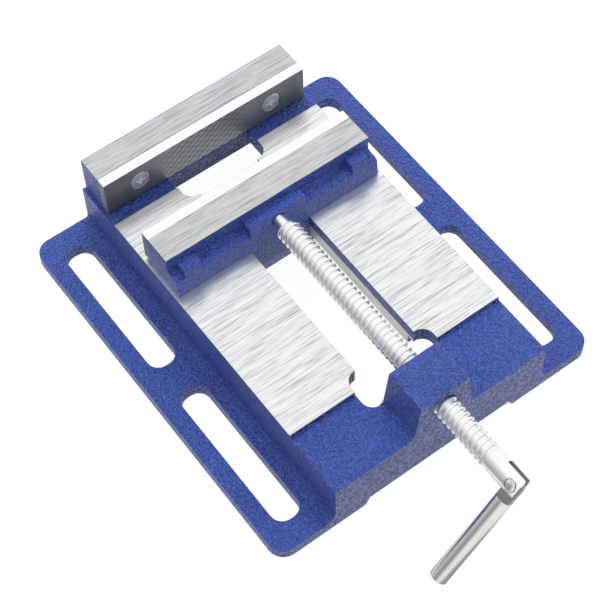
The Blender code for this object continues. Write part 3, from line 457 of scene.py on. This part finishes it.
def add_piece(name, bm, finishes, body, *nodes, sharp=34.0):
    """An object at the origin made from bm, which rides on the body and stands for the CAD nodes."""
    mesh = bpy.data.meshes.new(name)
    bm.to_mesh(mesh)
    bm.free()
    mesh.shade_smooth()
    mesh.set_sharp_from_angle(angle=math.radians(sharp))
    for material in finishes:
        mesh.materials.append(material)
    obj = bpy.data.objects.new(name, mesh)
    bpy.context.scene.collection.objects.link(obj)
    flat = obj.modifiers.new("flat_faces", "WEIGHTED_NORMAL")
    flat.keep_sharp = True
    flat.weight = 80
    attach(obj, body)
    if nodes:
        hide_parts(*nodes)
    return obj


def scratch(name, bm):
    """A helper object for a Boolean."""
    bmesh.ops.recalc_face_normals(bm, faces=bm.faces)
    mesh = bpy.data.meshes.new(name)
    bm.to_mesh(mesh)
    bm.free()
    obj = bpy.data.objects.new(name, mesh)
    bpy.context.scene.collection.objects.link(obj)
    return obj


def boolean(obj, operation, tool):
    """Joins the tool to the object's mesh or cuts it out, and removes the tool."""
    modifier = obj.modifiers.new(operation, "BOOLEAN")
    modifier.operation = operation
    modifier.solver = "EXACT"
    modifier.object = tool
    result = bpy.data.meshes.new_from_object(obj.evaluated_get(bpy.context.evaluated_depsgraph_get()))
    if not result.polygons:
        raise RuntimeError("the Boolean left nothing of " + obj.name)
    obj.modifiers.remove(modifier)
    obj.data = result
    bpy.data.objects.remove(tool)


def taken(obj):
    """The bmesh of a scratch object, which is then removed. Its parts are put in order of their places."""
    bm = bmesh.new()
    bm.from_mesh(obj.data)
    bmesh.ops.remove_doubles(bm, verts=bm.verts, dist=0.1 * TOUCH)
    bm.verts.sort(key=lambda vert: place_key(vert.co))
    bm.edges.sort(key=lambda edge: place_key(edge.verts[0].co + edge.verts[1].co))
    bm.faces.sort(key=lambda face: place_key(face.calc_center_median()))
    bpy.data.objects.remove(obj)
    return bm


def place_key(place):
    """One number that orders places in space."""
    return place.x + 1.7320508 * place.y + 2.2360680 * place.z


def turned(profile, segments):
    """A closed bmesh turned from a profile of (radius, height) whose ends lie on the Z axis."""
    bm = bmesh.new()
    verts = [bm.verts.new((radius, 0.0, height)) for radius, height in profile]
    edges = [bm.edges.new(pair) for pair in zip(verts, verts[1:])]
    bmesh.ops.spin(bm, geom=verts + edges, cent=(0.0, 0.0, 0.0), axis=(0.0, 0.0, 1.0), angle=math.tau,
                   steps=segments, use_merge=True)
    bmesh.ops.remove_doubles(bm, verts=bm.verts, dist=1e-7)
    bmesh.ops.recalc_face_normals(bm, faces=bm.faces)
    return bm


def rod(radius, low, high, turn, segments=48):
    """A round tool between two heights, turned into place. None of its corners lies on a plane of symmetry."""
    bm = bmesh.new()
    bmesh.ops.create_cone(bm, cap_ends=True, segments=segments, radius1=radius, radius2=radius, depth=high - low,
                          matrix=Matrix.Rotation(0.3 * math.tau / segments, 4, "Z"))
    bmesh.ops.translate(bm, vec=(0.0, 0.0, (low + high) / 2), verts=bm.verts)
    bmesh.ops.transform(bm, matrix=turn, verts=bm.verts)
    return bm


def block(low, high):
    """A square tool between two corners."""
    bm = bmesh.new()
    bmesh.ops.create_cube(bm, size=1.0)
    size = [b - a for a, b in zip(low, high)]
    middle = [(a + b) / 2 for a, b in zip(low, high)]
    bmesh.ops.scale(bm, vec=size, verts=bm.verts)
    bmesh.ops.translate(bm, vec=middle, verts=bm.verts)
    return bm


def screw_frame():
    """Place of the screw: its Z axis runs from the jaw to the fork, and its X axis away from the handle."""
    turn = Euler((math.pi / 2, -HANDLE_TURN, 0.0)).to_matrix().to_4x4()
    return Matrix.Translation((0.0, THREAD_START, SCREW_HEIGHT)) @ turn


def flat_at(face, height, up=1.0):
    """Whether the face lies level at that height and looks up, or down when up is -1."""
    return face.normal.z * up > 0.99 and abs(face.calc_center_median().z - height) < TOUCH


class VISE_OT_base_casting(bpy.types.Operator):
    """Base casting: painted all over, with ground rails, jaw top, guides and feet"""
    bl_idname = "vise.base_casting"
    bl_label = "Base Casting"
    rails, jaw_top, guides = 1, 2, 3

    def execute(self, context):
        bm = merged_copy("base_casting")
        split_at(bm, self.slot_walls(bm), (0.0, 0.0, GUIDE_TOP), (0.0, 0.0, 1.0))
        for face in self.slot_walls(bm):
            if self.is_guide(face):
                face.material_index = self.guides
        for face in bm.faces:
            if flat_at(face, RAIL_TOP) or flat_at(face, RAIL_UNDERSIDE, -1.0) or flat_at(face, 0.0, -1.0):
                face.material_index = self.rails
            elif flat_at(face, JAW_TOP):
                face.material_index = self.jaw_top
        # The base's walls take the full weight of painted highlight and shade spots.
        soften(bm, context.scene.vise_paint.edge_width, painted_wall_light=1.0)
        for face in bm.faces:
            middle = face.calc_center_median()
            if abs(middle.x) > BODY_HALF - 0.5 * MM and middle.z > RAIL_TOP - 0.3 * MM and middle.y < 0.0:
                face.material_index = self.rails
        finishes = (finish("textured_blue_paint", textured_paint), finish("ground_rails", ground_iron, 1.04, 0.44),
                    finish("ground_jaw_tops", ground_iron, 0.75, 0.43),
                    finish("machined_guides", machined_guide, context.scene.vise_steel.guide_color))
        piece = add_piece("vise_base", bm, finishes, "base", "base_casting")
        return {"FINISHED"}

    def slot_walls(self, bm):
        return [face for face in bm.faces if abs(face.normal.x) > 0.99
                and abs(abs(face.calc_center_median().x) - RAIL_SLOT_HALF) < TOUCH]

    def is_guide(self, face):
        """Whether that part of the slot's wall is machined for the movable jaw."""
        heights = [vert.co.z for vert in face.verts]
        return max(heights) < GUIDE_TOP + TOUCH and min(heights) < RAIL_UNDERSIDE + TOUCH


class VISE_OT_movable_jaw(bpy.types.Operator):
    """Movable jaw: a painted block on a ribbed foot, with a ground top"""
    bl_idname = "vise.movable_jaw"
    bl_label = "Movable Jaw"

    def execute(self, context):
        bm = merged_copy("movable_jaw")
        for face in bm.faces:
            if flat_at(face, MOVABLE_JAW_TOP) or flat_at(face, MOVABLE_JAW_SOLE, -1.0):
                face.material_index = 1
        # Its soft edges take a quarter of the pale edge marks, which are scuffing and painted highlight.
        soften(bm, context.scene.vise_paint.edge_width, wear_and_highlight=0.25)
        finishes = (finish("textured_blue_paint", textured_paint),
                    finish("ground_jaw_tops", ground_iron, 0.75, 0.43))
        piece = add_piece("vise_movable_jaw", bm, finishes, "jaw", "movable_jaw")
        return {"FINISHED"}


class VISE_OT_jaw_plates(bpy.types.Operator):
    """Jaw plates: ground bars with a cross-hatched gripping face"""
    bl_idname = "vise.jaw_plates"
    bl_label = "Jaw Plates"
    ground_edge, dull_end = 1, 2
    depth_shares = (0.5, 1.0)

    def execute(self, context):
        hatch = context.scene.vise_hatch
        steel = context.scene.vise_steel
        for name, node, body, side in (("vise_fixed_jaw_plate", "fixed_jaw_plate", "base", 1.0),
                                       ("vise_movable_jaw_plate", "movable_jaw_plate", "jaw", -1.0)):
            low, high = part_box(node)
            face_y = low.y if side > 0 else high.y
            middle = Vector((0.0, face_y, (low.z + high.z) / 2))
            bm = merged_copy(node)
            back = [vert for vert in bm.verts if abs(vert.co.y - face_y) > 4.0 * MM]
            bmesh.ops.translate(bm, vec=(0.0, side * PLATE_SEAT, 0.0), verts=back)
            soften(bm, 0.25 * MM, keep=lambda edge: edge.calc_length() > 8 * MM)
            self.cut_hatch(bm, hatch, middle, side)
            groove = bm.faces.layers.float.new("groove")
            for face in bm.faces:
                center = face.calc_center_median()
                if face.normal.z > 0.7:
                    face.material_index = self.ground_edge
                elif abs(face.normal.x) > 0.9:
                    face.material_index = self.dull_end
                # The groove weight is painted shade, growing with how far the face is sunk below the gripping
                # face.
                depth = (center.y - face_y) * side
                sunk = 0.005 * MM < depth < hatch.depth
                if sunk and abs(center.x) < hatch.reach and abs(face.normal.y) > 0.3:
                    face[groove] = min(1.0, 1.6 * depth / hatch.depth)
            finishes = (finish("hatched_plate_steel", plate_face),
                        finish("ground_plate_edge", ground_iron, 1.12, 0.92),
                        finish("dull_dark_steel", zinc_steel, steel.keeper_color, 0.40, 0.4))
            piece = add_piece(name, bm, finishes, body, node, sharp=20.0)
        return {"FINISHED"}

    def cut_hatch(self, bm, hatch, middle, side):
        """Splits the gripping face along both families of grooves and sinks their middle lines."""
        normals = [Vector((math.sin(turn), 0.0, math.cos(turn))) for turn in (hatch.slope, -hatch.slope)]
        pitch = hatch.spacing * math.sin(hatch.slope)
        reach = math.ceil(hatch.reach / hatch.spacing)
        for normal in normals:
            for count in range(-reach, reach + 1):
                for shift in (-hatch.width / 2, 0.0, hatch.width / 2):
                    bmesh.ops.bisect_plane(bm, geom=bm.verts[:] + bm.edges[:] + bm.faces[:], dist=TOUCH,
                                           plane_co=middle + normal * (count * pitch + shift), plane_no=normal)
        for vert in bm.verts:
            if abs(vert.co.y - middle.y) > TOUCH:
                continue
            fade = min(1.0, max(0.0, (hatch.reach - abs(vert.co.x)) / (8 * MM)))
            for normal, share in zip(normals, self.depth_shares):
                across = (vert.co - middle).dot(normal) / pitch
                if abs(across - round(across)) * pitch < TOUCH:
                    vert.co.y = middle.y + side * hatch.depth * fade * share


class VISE_OT_plate_screws(bpy.types.Operator):
    """Plate screws: countersunk heads with a cross recess, flush with the plates"""
    bl_idname = "vise.plate_screws"
    bl_label = "Plate Screws"
    recess = 1
    arm, half_arm, recess_depth = 2.5 * MM, 0.65 * MM, 1.0 * MM
    soft_rim = 0.35 * MM
    core, point = 2.5 * MM, 1.9 * MM

    def execute(self, context):
        color = times(1.15, context.scene.vise_steel.fastener_color)
        # The cross recess gets a near-white finish: a painted highlight standing in for light caught in it.
        finishes = (finish("plate_screw_steel", zinc_steel, color, 0.30, 0.45),
                    finish("recess_painted_highlight", zinc_steel, (0.98, 0.98, 1.00), 0.5, 0.0))
        for node, (side, body) in PLATE_SCREWS.items():
            low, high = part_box(node)
            fixed = body == "base"
            face_y = low.y if fixed else high.y
            center = Vector(((low.x + high.x) / 2, face_y, (low.z + high.z) / 2))
            head = (high.x - low.x) / 2
            bm = self.screw(head, high.y - low.y)
            turn = Euler((math.pi / 2 if fixed else -math.pi / 2, 0.0, 0.0)).to_matrix().to_4x4()
            spin = Matrix.Rotation(math.radians(8.0 * side), 4, "Z")
            bmesh.ops.transform(bm, matrix=Matrix.Translation(center) @ turn @ spin, verts=bm.verts)
            bmesh.ops.recalc_face_normals(bm, faces=bm.faces)
            piece = add_piece("vise_" + node, bm, finishes, body, node)
        return {"FINISHED"}

    def screw(self, radius, length):
        """Screw with its head's top at zero and its point below; the recess narrows to its floor."""
        bm = bmesh.new()
        top = radius - self.soft_rim
        rim = bmesh.ops.create_circle(bm, segments=40, radius=top)["verts"]
        arm, half = self.arm, self.half_arm
        corners = []
        for quarter in range(4):
            turn = Matrix.Rotation(quarter * math.pi / 2, 3, "Z")
            for x, y in ((half, half), (half * 0.8, arm), (-half * 0.8, arm)):
                corners.append(bm.verts.new(turn @ Vector((x, y, 0.0))))
        cross = [bm.edges.new((a, b)) for a, b in zip(corners, corners[1:] + corners[:1])]
        outer = list(dict.fromkeys(edge for vert in rim for edge in vert.link_edges))
        bmesh.ops.bridge_loops(bm, edges=outer + cross)
        sunk = bmesh.ops.extrude_edge_only(bm, edges=cross)["geom"]
        verts = [item for item in sunk if isinstance(item, bmesh.types.BMVert)]
        edges = [item for item in sunk if isinstance(item, bmesh.types.BMEdge)]
        bmesh.ops.scale(bm, vec=(0.5, 0.5, 1.0), verts=verts)
        bmesh.ops.translate(bm, vec=(0.0, 0.0, -self.recess_depth), verts=verts)
        bmesh.ops.edgeloop_fill(bm, edges=edges)
        # Recess faces take the painted highlight finish.
        for vert in verts:
            for face in vert.link_faces:
                face.material_index = self.recess
        profile = ((radius, -0.25 * MM), (radius, -0.4 * MM), (self.core, -2.4 * MM),
                   (self.core, self.core - self.point - length), (self.point, -length))
        ring = outer
        previous = top
        for width, height in profile:
            step = bmesh.ops.extrude_edge_only(bm, edges=ring)["geom"]
            verts = [item for item in step if isinstance(item, bmesh.types.BMVert)]
            ring = [item for item in step if isinstance(item, bmesh.types.BMEdge)]
            bmesh.ops.scale(bm, vec=(width / previous, width / previous, 1.0), verts=verts)
            bmesh.ops.translate(bm, vec=(0.0, 0.0, height - verts[0].co.z), verts=verts)
            previous = width
        bmesh.ops.edgeloop_fill(bm, edges=ring)
        return bm


class VISE_OT_lead_screw(bpy.types.Operator):
    """Lead screw: nose, trapezoidal thread, and plain head with the fork of the handle"""
    bl_idname = "vise.lead_screw"
    bl_label = "Lead Screw"
    milled, flank = 1, 2

    def execute(self, context):
        thread = context.scene.vise_thread
        steel = context.scene.vise_steel
        bm = self.thread(thread)
        # Thread flanks get a slightly darker copy of the screw steel: painted shade between the crests.
        for face in bm.faces:
            if abs(face.normal.z) > 0.6:
                face.material_index = self.flank
        core = thread.radius - thread.depth
        for part in (self.nose(core), self.head(core)):
            mesh = bpy.data.meshes.new("part")
            part.to_mesh(mesh)
            part.free()
            bm.from_mesh(mesh)
            bpy.data.meshes.remove(mesh)
        bmesh.ops.transform(bm, matrix=screw_frame(), verts=bm.verts)
        finishes = (finish("bright_screw_steel", turned_steel, steel.thread_color, 0.28),
                    finish("milled_steel", zinc_steel, steel.milled_color, 0.45, 0.3),
                    finish("thread_flank_painted_shade", turned_steel, times(0.95, steel.thread_color), 0.28))
        piece = add_piece("vise_lead_screw", bm, finishes, "screw", "lead_screw", sharp=28.0)
        return {"FINISHED"}

    def thread(self, thread):
        """One pitch of profile swept up a right-hand helix and cut flat at both ends."""
        root = thread.radius - thread.depth
        foot = thread.pitch - thread.crest - 2 * thread.flank
        soft = 0.13 * MM
        profile = [(root, 0.0), (root, foot), (thread.radius - soft, foot + thread.flank * 0.9),
                   (thread.radius, foot + thread.flank + soft),
                   (thread.radius, thread.pitch - thread.flank - soft),
                   (thread.radius - soft, thread.pitch - thread.flank * 0.9), (root, thread.pitch)]
        top = THREAD_LENGTH + 0.2 * MM
        turns = math.ceil(top / thread.pitch) + 2
        bm = bmesh.new()
        verts = [bm.verts.new((radius, 0.0, height - thread.pitch)) for radius, height in profile]
        edges = [bm.edges.new(pair) for pair in zip(verts, verts[1:])]
        bmesh.ops.spin(bm, geom=verts + edges, cent=(0.0, 0.0, 0.0), axis=(0.0, 0.0, 1.0),
                       dvec=(0.0, 0.0, thread.pitch / thread.steps), angle=math.tau * turns,
                       steps=thread.steps * turns)
        bmesh.ops.remove_doubles(bm, verts=bm.verts, dist=1e-6)
        for height, up in ((0.0, -1.0), (top, 1.0)):
            bmesh.ops.bisect_plane(bm, geom=bm.verts[:] + bm.edges[:] + bm.faces[:], dist=1e-7,
                                   plane_co=(0.0, 0.0, height), plane_no=(0.0, 0.0, up), clear_outer=True)
        bmesh.ops.edgeloop_fill(bm, edges=[edge for edge in bm.edges if edge.is_boundary])
        bmesh.ops.recalc_face_normals(bm, faces=bm.faces)
        return bm

    def nose(self, core):
        """Tapered nose with the groove that the two pins hold."""
        inside, tip = core - 0.1 * MM, -NOSE_SHOWN - NOSE_DEPTH
        neck_start = NECK_HALF - NOSE_SHOWN - NECK_INSET
        neck_end = -NECK_HALF - NOSE_SHOWN - NECK_INSET
        return turned([
            (0.0, EMBED), (inside, EMBED), (inside, 0.0), (core - 0.5 * MM, -0.6 * MM),
            (NOSE_RADIUS, -NOSE_SHOWN), (NOSE_RADIUS, neck_start), (NECK_RADIUS, neck_start),
            (NECK_RADIUS, neck_end), (NOSE_RADIUS, neck_end), (NOSE_RADIUS, tip + SOFT_END),
            (NOSE_RADIUS - SOFT_END, tip), (0.0, tip)], 48)

    def head(self, core):
        """Plain head with its fork slot, rivet hole and rivet seats."""
        end = THREAD_LENGTH + HEAD_LENGTH
        slot_floor = end - FORK_SLOT_DEPTH
        inside, root = core - 0.3 * MM, THREAD_LENGTH - EMBED
        outside = HEAD_RADIUS + OVERSHOOT
        head = scratch("head", turned([
            (0.0, end), (HEAD_RADIUS - SOFT_END, end), (HEAD_RADIUS, end - SOFT_END),
            (HEAD_RADIUS, THREAD_LENGTH), (inside, THREAD_LENGTH), (inside, root), (0.0, root)], 64))
        across = Matrix.Translation((0.0, 0.0, PIVOT)) @ Matrix.Rotation(math.pi / 2, 4, "X")
        boolean(head, "DIFFERENCE", scratch("slot", block(
            (-outside, -FORK_SLOT_WIDTH / 2, slot_floor), (outside, FORK_SLOT_WIDTH / 2, end + OVERSHOOT))))
        boolean(head, "DIFFERENCE", scratch("hole", rod(RIVET_HOLE, -outside, outside, across)))
        for low, high in ((RIVET_SEAT, outside), (-outside, -RIVET_SEAT)):
            boolean(head, "DIFFERENCE", scratch("seat", rod(RIVET_HEAD + SEAT, low, high, across)))
        bm = taken(head)
        bmesh.ops.recalc_face_normals(bm, faces=bm.faces)
        bmesh.ops.dissolve_limit(bm, angle_limit=math.radians(0.3), verts=bm.verts, edges=bm.edges)
        for face in bm.faces:
            middle = face.calc_center_median()
            if abs(middle.y) < FORK_SLOT_WIDTH / 2 + TOUCH and middle.z > slot_floor - TOUCH:
                face.material_index = self.milled
        return bm


class VISE_OT_handle(bpy.types.Operator):
    """Handle: a round bar with a flat tongue, and the rivet it folds on"""
    bl_idname = "vise.handle"
    bl_label = "Handle"
    milled = 1
    rivet_rise = 1.25 * MM

    def execute(self, context):
        steel = context.scene.vise_steel
        pivot = screw_frame() @ Matrix.Translation((0.0, 0.0, PIVOT))
        bm = self.bar(context.scene.vise_handle)
        bmesh.ops.transform(bm, matrix=pivot @ Matrix.Rotation(math.pi / 2, 4, "Y"), verts=bm.verts)
        bmesh.ops.recalc_face_normals(bm, faces=bm.faces)
        finishes = (finish("satin_handle_steel", drawn_steel, steel.handle_color, 0.22),
                    finish("milled_steel", zinc_steel, steel.milled_color, 0.45, 0.3))
        piece = add_piece("vise_handle_bar", bm, finishes, "handle", "handle_bar", sharp=32.0)

        rivet = self.rivet()
        bmesh.ops.transform(rivet, matrix=pivot @ Matrix.Rotation(-math.pi / 2, 4, "X"), verts=rivet.verts)
        bmesh.ops.recalc_face_normals(rivet, faces=rivet.faces)
        rivet_material = finish("rivet_steel", zinc_steel, steel.handle_color, 0.20)
        piece = add_piece("vise_handle_rivet", rivet, (rivet_material,), "screw", "handle_rivet", sharp=32.0)
        return {"FINISHED"}

    def bar(self, handle):
        """Round bar below a flat tongue that is rounded about the rivet's hole."""
        tip = -handle.length
        root = -HANDLE_SHOULDER - 1.5 * MM
        bar = scratch("bar", turned([
            (0.0, -HANDLE_SHOULDER), (handle.radius - SOFT_END, -HANDLE_SHOULDER),
            (handle.radius - 0.3 * SOFT_END, -HANDLE_SHOULDER - 0.3 * SOFT_END),
            (handle.radius, -HANDLE_SHOULDER - SOFT_END), (handle.radius, tip + handle.chamfer),
            (handle.radius - 0.2 * handle.chamfer, tip + 0.25 * handle.chamfer),
            (handle.radius - handle.chamfer, tip), (0.0, tip)], 64))
        half = handle.radius - SEAT
        tongue = bmesh.new()
        rounded_end = [(half * math.cos(math.pi * step / 24), half * math.sin(math.pi * step / 24))
                       for step in range(25)]
        outline = [(half, root), *rounded_end, (-half, root)]
        verts = [tongue.verts.new((x, -TONGUE_THICK / 2, z)) for x, z in outline]
        side = tongue.faces.new(verts)
        grown = bmesh.ops.extrude_face_region(tongue, geom=[side])["geom"]
        bmesh.ops.translate(tongue, vec=(0.0, TONGUE_THICK, 0.0),
                            verts=[item for item in grown if isinstance(item, bmesh.types.BMVert)])
        boolean(bar, "UNION", scratch("tongue", tongue))
        boolean(bar, "DIFFERENCE", scratch("hole", rod(RIVET_HOLE, -4 * MM, 4 * MM,
                                                       Matrix.Rotation(math.pi / 2, 4, "X"))))
        bm = taken(bar)
        for face in bm.faces:
            if face.calc_center_median().z > -HANDLE_SHOULDER - TOUCH:
                face.material_index = self.milled
        return bm

    def rivet(self):
        """Rivet with a domed head at each end."""
        seat = RIVET_SEAT + SEAT
        angles = [step * math.pi / 20 for step in range(3, 11)]
        dome = [(RIVET_HEAD * math.sin(angle), seat + self.rivet_rise * math.cos(angle)) for angle in angles]
        profile = [(0.0, dome[0][1]), *dome, (RIVET_RADIUS, seat)]
        return turned(profile + [(radius, -height) for radius, height in reversed(profile)], 48)


class VISE_OT_keeper(bpy.types.Operator):
    """Keeper: the plate under the rails with its two hexagon screws, lock washers and the retaining pins"""
    bl_idname = "vise.keeper"
    bl_label = "Keeper"

    def execute(self, context):
        steel = context.scene.vise_steel
        keeper = finish("dull_dark_steel", zinc_steel, steel.keeper_color, 0.40, 0.4)
        plated = finish("plated_fastener_steel", zinc_steel, steel.fastener_color, 0.28)
        for node, material, width in (
                ("keeper_plate", keeper, 0.3 * MM), ("keeper_screw_left", plated, 0.2 * MM),
                ("keeper_screw_right", plated, 0.2 * MM), ("lock_washer_left", plated, 0.1 * MM),
                ("lock_washer_right", plated, 0.1 * MM), ("retaining_pin_left", keeper, 0.1 * MM),
                ("retaining_pin_right", keeper, 0.1 * MM)):
            bm = merged_copy(node)
            soften(bm, width)
            piece = add_piece("vise_" + node, bm, (material,), "jaw", node)
        return {"FINISHED"}


class VISE_OT_studio(bpy.types.Operator):
    """Studio: pale floor, soft light from above and behind, and the camera"""
    bl_idname = "vise.studio"
    bl_label = "Studio"

    def execute(self, context):
        studio = context.scene.vise_studio
        scene = context.scene
        scene.view_settings.view_transform = "Standard"
        self.floor(studio)
        self.sky(scene, studio)
        self.lamp("key", (0.30, 0.55, 1.10), 0.8, studio.key_power)
        data = bpy.data.cameras.new("camera")
        data.lens = studio.lens
        data.sensor_width = 36.0
        data.clip_start = 0.01
        camera = bpy.data.objects.new("camera", data)
        camera.location = studio.camera_place
        camera.rotation_euler = Euler(studio.camera_turn)
        scene.collection.objects.link(camera)
        scene.camera = camera
        return {"FINISHED"}

    def floor(self, studio):
        """Wide floor just under the feet. It shows white with a faint shadow; in reflections it shows a painted
        dark strip left of the vise and a painted shadow spot under the handle.
        """
        bm = bmesh.new()
        bmesh.ops.create_grid(bm, x_segments=8, y_segments=8, size=0.5)
        bmesh.ops.translate(bm, vec=(0.0, -0.07, -0.05 * MM), verts=bm.verts)
        mesh = bpy.data.meshes.new("studio_floor")
        bm.to_mesh(mesh)
        bm.free()
        floor = bpy.data.objects.new("studio_floor", mesh)
        bpy.context.scene.collection.objects.link(floor)
        material = bpy.data.materials.new("pale_floor")
        material.use_nodes = True
        graph = Graph(material.node_tree)
        matt = graph.node("BsdfDiffuse", None, {"Color": rgba(studio.floor_color)})
        camera = graph.node("LightPath", output=0)
        glossy = graph.node("LightPath", output=3)
        place = graph.node("TexCoord", output=3)
        # Painted reflection: only reflections see a dark strip of floor left of the vise.
        beside = graph.spread(graph.part(place, 0), -0.082, -0.095)
        near = graph.spread(graph.part(place, 1), -0.30, -0.20)
        # Painted shadow: only reflections see a dark spot on the floor under the handle, standing in for the
        # handle's own shadow.
        offset = graph.node("VectorMath", {"operation": "DISTANCE"}, {0: place, 1: (-0.024, -0.205, 0.0)}, 1)
        painted_handle_shadow = graph.spread(offset, 0.034, 0.020)
        color = graph.mix(glossy * beside * near, (1.0, 1.0, 1.0), (0.16, 0.16, 0.17))
        color = graph.mix(glossy * painted_handle_shadow, color, (0.28, 0.28, 0.29))
        glow = graph.node("Emission", None, {"Color": color, "Strength": 1.10})
        seen = camera * 0.87 + glossy * 0.75
        shader = graph.node("MixShader", None, {0: seen, 1: matt, 2: glow})
        graph.node("OutputMaterial", None, {0: shader})
        mesh.materials.append(material)

    def sky(self, scene, studio):
        """Even light, whitest overhead and greyer towards the horizon; the camera sees plain white.

        Reflections see a grey wall on the left in place of the matt surfaces' shades.
        """
        world = bpy.data.worlds.new("studio_sky")
        world.use_nodes = True
        scene.world = world
        graph = Graph(world.node_tree)
        direction = graph.node("TexCoord", output=0)
        across, depth, height = (graph.part(direction, index) for index in range(3))
        glossy = graph.node("LightPath", output=3)
        low = graph.spread(depth, 0.2, -0.6) * graph.spread(height, 0.75, 0.15)
        matt_shade = graph.mix(low, (1.0, 1.0, 1.0), (0.62, 0.62, 0.64))
        band = graph.spread(across, -0.42, -0.95) * graph.spread(height, 0.62, 0.30)
        matt_shade = graph.mix(band, matt_shade, (0.14, 0.14, 0.15))
        behind = graph.spread(depth, 0.0, 0.5) * 0.25
        ahead = graph.spread(depth, -0.15, -0.65)
        left = graph.spread(across, -0.35, -0.98) * (1.0 - behind - ahead)
        glossy_shade = graph.mix(left, (1.0, 1.0, 1.0), (0.28, 0.28, 0.29))
        shade = graph.mix(glossy, matt_shade, glossy_shade)
        strength = graph.spread(glossy, 0.0, 1.0, studio.sky, 1.05)
        light = graph.node("Background", None, {"Color": shade, "Strength": strength})
        white = graph.node("Background", None, {"Color": (1.0, 1.0, 1.0, 1.0), "Strength": 1.0})
        camera = graph.node("LightPath", output=0)
        shader = graph.node("MixShader", None, {0: camera, 1: light, 2: white})
        graph.node("OutputWorld", None, {0: shader})

    def lamp(self, name, place, size, power):
        data = bpy.data.lights.new(name, "AREA")
        data.shape = "SQUARE"
        data.size = size
        data.energy = power
        lamp = bpy.data.objects.new(name, data)
        lamp.location = place
        lamp.visible_glossy = False
        lamp.rotation_euler = (Vector((0.0, -0.07, 0.02)) - Vector(place)).to_track_quat("-Z", "Y").to_euler()
        bpy.context.scene.collection.objects.link(lamp)


PIECES = (VISE_OT_studio, VISE_OT_base_casting, VISE_OT_movable_jaw, VISE_OT_jaw_plates, VISE_OT_plate_screws,
          VISE_OT_lead_screw, VISE_OT_handle, VISE_OT_keeper)
SETTINGS = {"vise_paint": PaintSettings, "vise_steel": SteelSettings, "vise_thread": ThreadSettings,
            "vise_hatch": HatchSettings, "vise_handle": HandleSettings, "vise_studio": StudioSettings}


class VISE_PT_pieces(bpy.types.Panel):
    """The vise's pieces and the studio, one button each"""
    bl_idname = "VISE_PT_pieces"
    bl_label = "Drill-Press Vise"
    bl_space_type = "VIEW_3D"
    bl_region_type = "UI"
    bl_category = "Vise"

    def draw(self, context):
        for name, group in SETTINGS.items():
            box = self.layout.box()
            for field in group.__annotations__:
                box.prop(getattr(context.scene, name), field)
        for piece in PIECES:
            self.layout.operator(piece.bl_idname)


def register():
    for cls in (*SETTINGS.values(), *PIECES, VISE_PT_pieces):
        bpy.utils.register_class(cls)
    for name, group in SETTINGS.items():
        setattr(bpy.types.Scene, name, PointerProperty(type=group))


def unregister():
    for name in SETTINGS:
        delattr(bpy.types.Scene, name)
    for cls in reversed((*SETTINGS.values(), *PIECES, VISE_PT_pieces)):
        bpy.utils.unregister_class(cls)


def main():
    register()
    for piece in PIECES:
        group, name = piece.bl_idname.split(".")
        getattr(getattr(bpy.ops, group), name)()


if __name__ == "__main__":
    main()
